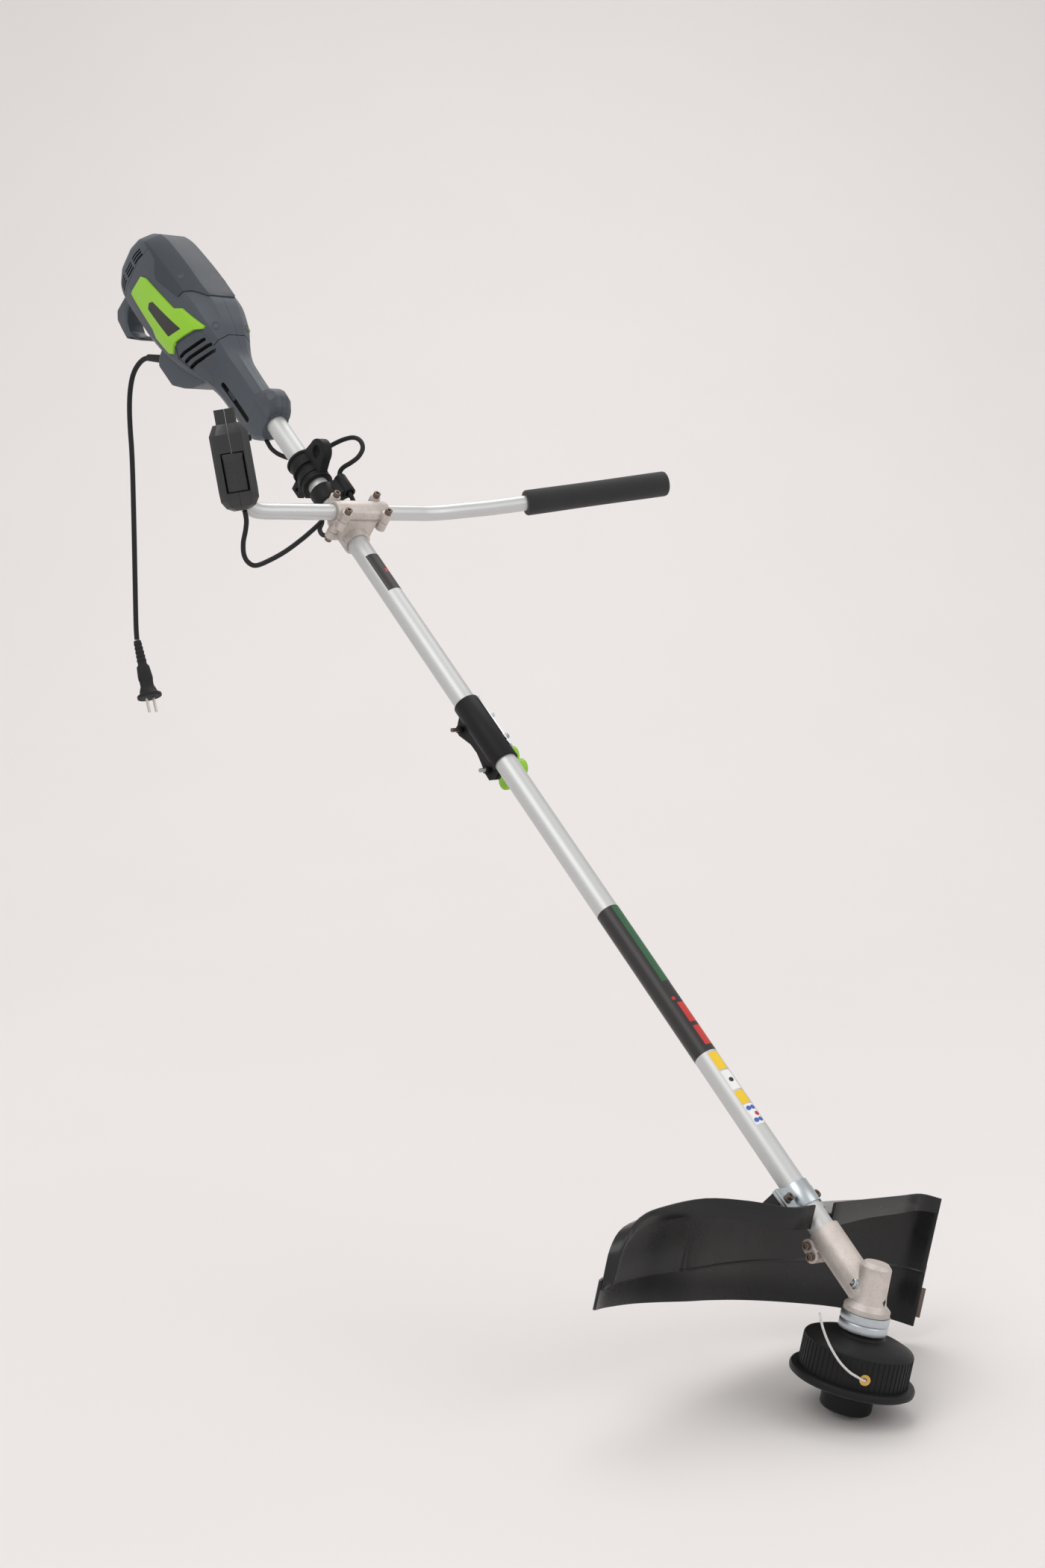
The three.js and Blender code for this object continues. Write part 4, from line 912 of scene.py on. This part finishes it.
# ---- gearbox and head
class TRIMMER_OT_head(Operator):
    """Cast gearbox and bump-feed line head"""
    bl_idname = "trimmer.head"
    bl_label = "Gearbox and head"

    def execute(self, context):
        refined("gearbox", "cast", 0.8, smooth=36, angle=34)
        refined("drive_flange", "zinc", 0.4)
        r = context.scene.trimmer_sizes.head_radius / MM
        cap = [(5.3, -32.1), (19.4, -32.1), (20, -32.6), (24, -36.5), (33, -38.6), (45, -41.2),
               (r - 1, -44.4), (r, -45.6), (r, -77), (r - 3, -77), (r - 3, -48), (42, -45.5), (5.3, -41)]
        piece("head_cap_ribbed", turned(cap, 96), OUTPUT, "black", "cutting_head", ("head_cap",),
              30)
        cover = [(27, -83), (28, -84), (54, -84.5), (58, -84.2), (61, -82.3), (61.5, -80), (61.5, -78),
                 (60.4, -76), (58.5, -75.5), (54.1, -75.5), (54.1, -77.3), (27, -77.3)]
        piece("head_cover_flange", turned(cover, 96), OUTPUT, "black", "cutting_head", ("head_cover",),
              35)
        knob = [(0, -76), (20, -76), (20, -88), (24.8, -88.5), (25.5, -89.4), (25.5, -107.5), (24.6, -110),
                (22, -111.8), (16, -112.5), (0, -112.5)]
        piece("bump_knob_turned", turned(knob, 64), OUTPUT, "black", "bump", ("bump_knob",),
              30)
        axis = Vector((18.5, 13, 13.2)) - Vector((11, 10.5, 9.2))
        where = OUTPUT @ shift(11, 10.5, 9.2) @ facing(axis.normalized())
        screw = turned([(0, 5.6), (1.1, 5.6), (1.5, 7.0), (3.6, 7.0), (4.3, 6.0), (4.3, 4.4), (5.6, 4.2),
                        (5.6, 3.4), (5.2, 3.2), (5.2, -4), (0, -4)], 32)
        cross = [tool(boxed(size, (0, 7.0, 0)), where, "zinc")
                 for size in ((5.0, 2.4, 1.0), (1.0, 2.4, 5.0))]
        plug = carved(raw_object("filler_screw", screw, where, "zinc"), cross)
        settled(plug, "lower_boom", (), 30)
        self.flutes(context, r)
        for node, finish in (("line_eyelet_1", "brass"), ("line_eyelet_2", "brass"), ("spool", "black"),
                             ("output_shaft", "steel")):
            refined(node, finish, 0.25)
        return {"FINISHED"}

    def flutes(self, context, r):
        """Fine grip ribs up the wall of the cap, one mesh repeated round the axis."""
        rib = boxed((0.9, 27.5, 1.1), (r + 0.1, -60.5, 0))
        source = raw_object("rib", rib, WORLD, "black")
        tree = bpy.data.node_groups.new("flutes", "GeometryNodeTree")
        make, socket = tree.nodes.new, tree.interface.new_socket
        socket("Geometry", in_out="OUTPUT", socket_type="NodeSocketGeometry")
        socket("Geometry", in_out="INPUT", socket_type="NodeSocketGeometry")
        count = socket("Count", in_out="INPUT", socket_type="NodeSocketInt")
        paint = socket("Finish", in_out="INPUT", socket_type="NodeSocketMaterial")
        start, end = make("NodeGroupInput"), make("NodeGroupOutput")
        ring = make("GeometryNodeMeshCircle")
        index = make("GeometryNodeInputIndex")
        angle = make("ShaderNodeMath")
        angle.operation = "DIVIDE"
        scaled = make("ShaderNodeMath")
        scaled.operation = "MULTIPLY"
        scaled.inputs[1].default_value = 2 * math.pi
        heading = make("ShaderNodeCombineXYZ")
        copies = make("GeometryNodeInstanceOnPoints")
        real = make("GeometryNodeRealizeInstances")
        painted = make("GeometryNodeSetMaterial")
        ring.inputs["Radius"].default_value = 0.0
        for a, b in ((start.outputs["Count"], ring.inputs["Vertices"]),
                     (ring.outputs["Mesh"], copies.inputs["Points"]),
                     (start.outputs["Geometry"], copies.inputs["Instance"]),
                     (index.outputs[0], angle.inputs[0]), (start.outputs["Count"], angle.inputs[1]),
                     (angle.outputs[0], scaled.inputs[0]), (scaled.outputs[0], heading.inputs["Y"]),
                     (heading.outputs[0], copies.inputs["Rotation"]), (copies.outputs[0], real.inputs[0]),
                     (real.outputs[0], painted.inputs["Geometry"]),
                     (start.outputs["Finish"], painted.inputs["Material"]),
                     (painted.outputs[0], end.inputs[0])):
            tree.links.new(a, b)
        mod = source.modifiers.new("flutes", "NODES")
        mod.node_group = tree
        mod[count.identifier] = context.scene.trimmer_sizes.flutes
        mod[paint.identifier] = FINISHES["black"]
        applied(source)
        source.data.transform(OUTPUT)
        source.name = "head_flutes"
        settled(source, "cutting_head", (), 30)


# ---- guard
# Stations round the back of the head: lip (x, y, h), lip depth, wall top (x, y, h), wall foot, skirt foot.
GUARD = [((-200, -48, 71), 16, (-203, -50, 66), -12, -70), ((-186, -64, 72), 18, (-190, -78, 62), -13, -69),
         ((-146, -65, 72), 19, (-148, -112, 52), -15, -66), ((-84, -66, 72), 20, (-84, -136, 45), -18, -63),
         ((-30, -67, 72), 24, (-28, -152, 41), -20, -61), ((18, -69, 71), 24, (20, -159, 38), -22, -59),
         ((48, -80, 67), 22, (52, -162, 37), -24, -58), ((68, -112, 64), 21, (78, -165, 36), -25, -57),
         ((92, -146, 57), 18, (104, -168, 36), -26, -56), ((134, -161, 47), 14, (140, -171, 34), -28, -55),
         ((174, -160, 39), 12, (182, -170, 26), -30, -54), ((197, -157, 16), 11, (202, -166, 8), -31, -53),
         ((206, -154, -18), 8, (208, -162, -21), -31, -50)]


def at(x, y, h):
    """A place by right, forward and up, in the frame of the output axis."""
    return (x, h, -y)


def guard_rings(per_span=4):
    """Cross-sections of the guard and its skirt, eased between the stations."""
    flat = [(*lip, depth, *wall, foot, skirt) for lip, depth, wall, foot, skirt in GUARD]
    parts = [catmull([Vector(row[k:k + 3]) for row in flat], per_span) for k in (0, 3, 6)]
    upper, lower = [], []
    for a, b, c in zip(*parts):
        lx, ly, lh, depth, wx, wy, wh, foot, skirt = (*a, *b, *c)
        out = Vector((wx, wy - 20)).normalized()
        back = Vector((wx - lx, wy - ly)).normalized() * 3
        shelf = lh - 0.62 * depth
        step = out * 1.2
        upper.append([at(wx + out.x * 3, wy + out.y * 3, foot), at(wx + out.x * 3, wy + out.y * 3, wh),
                      at(lx + back.x, ly + back.y, shelf + 3), at(lx + back.x, ly + back.y, lh - 1.2),
                      at(lx + back.x * 0.6, ly + back.y * 0.6, lh),
                      at(lx + back.x * 0.2, ly + back.y * 0.2, lh), at(lx, ly, lh - 0.8),
                      at(lx, ly, lh - depth), at(lx + back.x, ly + back.y, lh - depth),
                      at(lx + back.x, ly + back.y, shelf), at(wx, wy, wh - 3),
                      at(wx, wy, wh - 9 if wh > 0 else wh - 4),
                      at(wx + step.x, wy + step.y, wh - 11 if wh > 0 else wh - 5),
                      at(wx + step.x, wy + step.y, foot + 3), at(wx, wy, foot + 1.5), at(wx, wy, foot)])
        lower.append([at(wx + out.x * o, wy + out.y * o, h) for o, h in
                      ((3.4, skirt), (6.4, skirt), (6.4, foot + 9), (3.4, foot + 9))])
    return upper, lower


class TRIMMER_OT_guard(Operator):
    """Rear guard with its skirt, line cutter and tube bracket"""
    bl_idname = "trimmer.guard"
    bl_label = "Guard"

    def execute(self, context):
        gloss = "black_gloss"
        upper, lower = guard_rings()
        obj = raw_object("guard_moulded", rings_mesh(upper), OUTPUT, gloss)
        bosses = [tool(boxed((15, 24, 22), (x, 1099, -17.8)), LOWER, gloss) for x in (-25, 25)]
        carved(obj, bosses, "UNION")
        notch = tool(boxed((35, 100, 80), (0, 76, 67)), OUTPUT, gloss)
        holes = [tool(placed(turned([(0, -30), (2.8, -30), (2.8, 30), (0, 30)], 20),
                             Matrix.Translation((x, 1099, -5)) @ turn(90, "X")), LOWER, gloss)
                 for x in (-25, 25)]
        carved(obj, [notch, *holes])
        bevelled(obj, 0.6, 35, 2)
        settled(obj, "lower_boom", ("guard",), 34)
        skirt = raw_object("guard_skirt_moulded", rings_mesh(lower), OUTPUT, gloss)
        bevelled(skirt, 0.8, 35, 2)
        settled(skirt, "lower_boom", ("guard_skirt",), 34)
        refined("line_cutter", "bolt", 0.3)
        refined("bracket_band", "zinc", 0.4)
        refined("bracket_plate", "zinc", 0.4)
        return {"FINISHED"}


# ---- bolts and inner parts
class TRIMMER_OT_bolts(Operator):
    """Socket-head bolts and the inner drive parts"""
    bl_idname = "trimmer.bolts"
    bl_label = "Bolts and drive"

    def execute(self, context):
        bolts = [f"bar_cap_bolt_{k}" for k in (1, 2, 3, 4)]
        bolts += [f"{group}_bolt_{k}" for group in ("tube_cap", "bracket", "gearbox") for k in (1, 2)]
        for node in bolts:
            refined(node, "bolt", 0.3)
        for node, finish in (("stator", "steel"), ("armature", "copper"), ("motor_fan", "black"),
                             ("upper_drive_shaft", "steel"), ("lower_drive_shaft", "steel"),
                             ("bevel_pinion", "steel")):
            refined(node, finish, 0)
        return {"FINISHED"}


# ---- camera and stage
class TRIMMER_OT_camera(Operator):
    """Camera looking back at the trimmer from ahead and to its right"""
    bl_idname = "trimmer.camera"
    bl_label = "Camera"

    def execute(self, context):
        data = bpy.data.cameras.new("camera")
        data.lens, data.sensor_width, data.clip_end = 50.0, 36.0, 50.0
        camera = bpy.data.objects.new("camera", data)
        x = Vector((-0.7517, 0.6593, 0.0)).normalized()
        z = Vector((0.6556, 0.7475, 0.1080)).normalized()
        y = z.cross(x).normalized()
        x = y.cross(z)
        camera.matrix_world = Matrix.Translation((1.5962, 2.1965,
                                                  -0.1168)) @ Matrix((x, y, z)).transposed().to_4x4()
        context.scene.collection.objects.link(camera)
        context.scene.camera = camera
        return {"FINISHED"}


class TRIMMER_OT_stage(Operator):
    """Pale seamless floor and soft studio light"""
    bl_idname = "trimmer.stage"
    bl_label = "Stage"

    def execute(self, context):
        floor_z = CAD_BOX[0][2] - 0.0005
        s = Shader("stage_pale")
        paper = s.noise(3.0, 2.0)
        material = s.finish(Base_Color=s.mix(paper, (0.745, 0.722, 0.715), (0.765, 0.742, 0.735)),
                            Roughness=0.9)
        sweep = [(-6.0, 0.0), (1.4, 0.0)]
        sweep += [(1.4 + 3.2 * math.sin(a), 3.2 - 3.2 * math.cos(a))
                  for a in (math.radians(6 * k) for k in range(1, 16))]
        sweep.append((4.6, 9.0))
        away, across = Vector((-0.6594, -0.7518, 0)), Vector((-0.7518, 0.6594, 0))
        rings = [[away * d + across * w + Vector((0, 0, floor_z + z)) for w in (-9.0, 9.0)] for d, z in sweep]
        points = [p for ring in rings for p in ring]
        faces = [(2 * k, 2 * k + 1, 2 * k + 3, 2 * k + 2) for k in range(len(rings) - 1)]
        mesh = bpy.data.meshes.new("floor")
        mesh.from_pydata(points, [], faces)
        mesh.materials.append(material)
        mesh.shade_smooth()
        floor = bpy.data.objects.new("floor", mesh)
        context.scene.collection.objects.link(floor)
        context.scene.view_settings.view_transform = "Standard"
        world = bpy.data.worlds.new("studio")
        world.use_nodes = True
        world.node_tree.nodes["Background"].inputs[0].default_value = (1.0, 0.985, 0.975, 1)
        world.node_tree.nodes["Background"].inputs[1].default_value = 0.72
        context.scene.world = world
        lights = [("key", (2.6, 0.8, 2.8), 2.6, 46, (1, 0.98, 0.96)),
                  ("fill", (-1.2, 3.4, 1.3), 2.6, 26, (1, 0.98, 0.97)),
                  ("backdrop", (-1.6, -1.4, 3.4), 3.0, 60, (1, 0.99, 0.98))]
        for name, spot, size, power, colour in lights:
            data = bpy.data.lights.new(name, "AREA")
            data.shape, data.size, data.energy, data.color = "SQUARE", size, power, colour
            lamp = bpy.data.objects.new(name, data)
            lamp.location = spot
            aim = Vector((-0.4, -0.2, -0.6)) - Vector(spot)
            lamp.rotation_euler = aim.to_track_quat("-Z", "Y").to_euler()
            context.scene.collection.objects.link(lamp)
        return {"FINISHED"}


STEPS = (TRIMMER_OT_camera, TRIMMER_OT_leads, TRIMMER_OT_housing, TRIMMER_OT_boom, TRIMMER_OT_clamps,
         TRIMMER_OT_handlebar, TRIMMER_OT_guard, TRIMMER_OT_head, TRIMMER_OT_bolts, TRIMMER_OT_stage)


class TRIMMER_PT_panel(Panel):
    """Steps and settings of the trimmer"""
    bl_idname = "TRIMMER_PT_panel"
    bl_label = "String trimmer"
    bl_space_type = "VIEW_3D"
    bl_region_type = "UI"
    bl_category = "Trimmer"

    def draw(self, context):
        for group in (context.scene.trimmer_sizes, context.scene.trimmer_colours):
            for key in group.__annotations__:
                self.layout.prop(group, key)
        for step in STEPS:
            self.layout.operator(step.bl_idname)


CLASSES = (TrimmerColours, TrimmerSizes, *STEPS, TRIMMER_PT_panel)


def register():
    for cls in CLASSES:
        bpy.utils.register_class(cls)
    bpy.types.Scene.trimmer_colours = PointerProperty(type=TrimmerColours)
    bpy.types.Scene.trimmer_sizes = PointerProperty(type=TrimmerSizes)


def unregister():
    del bpy.types.Scene.trimmer_sizes
    del bpy.types.Scene.trimmer_colours
    for cls in reversed(CLASSES):
        bpy.utils.unregister_class(cls)


def main():
    register()
    make_finishes()
    for step in STEPS:
        group, name = step.bl_idname.split(".")
        getattr(getattr(bpy.ops, group), name)()


if __name__ == "__main__":
    main()
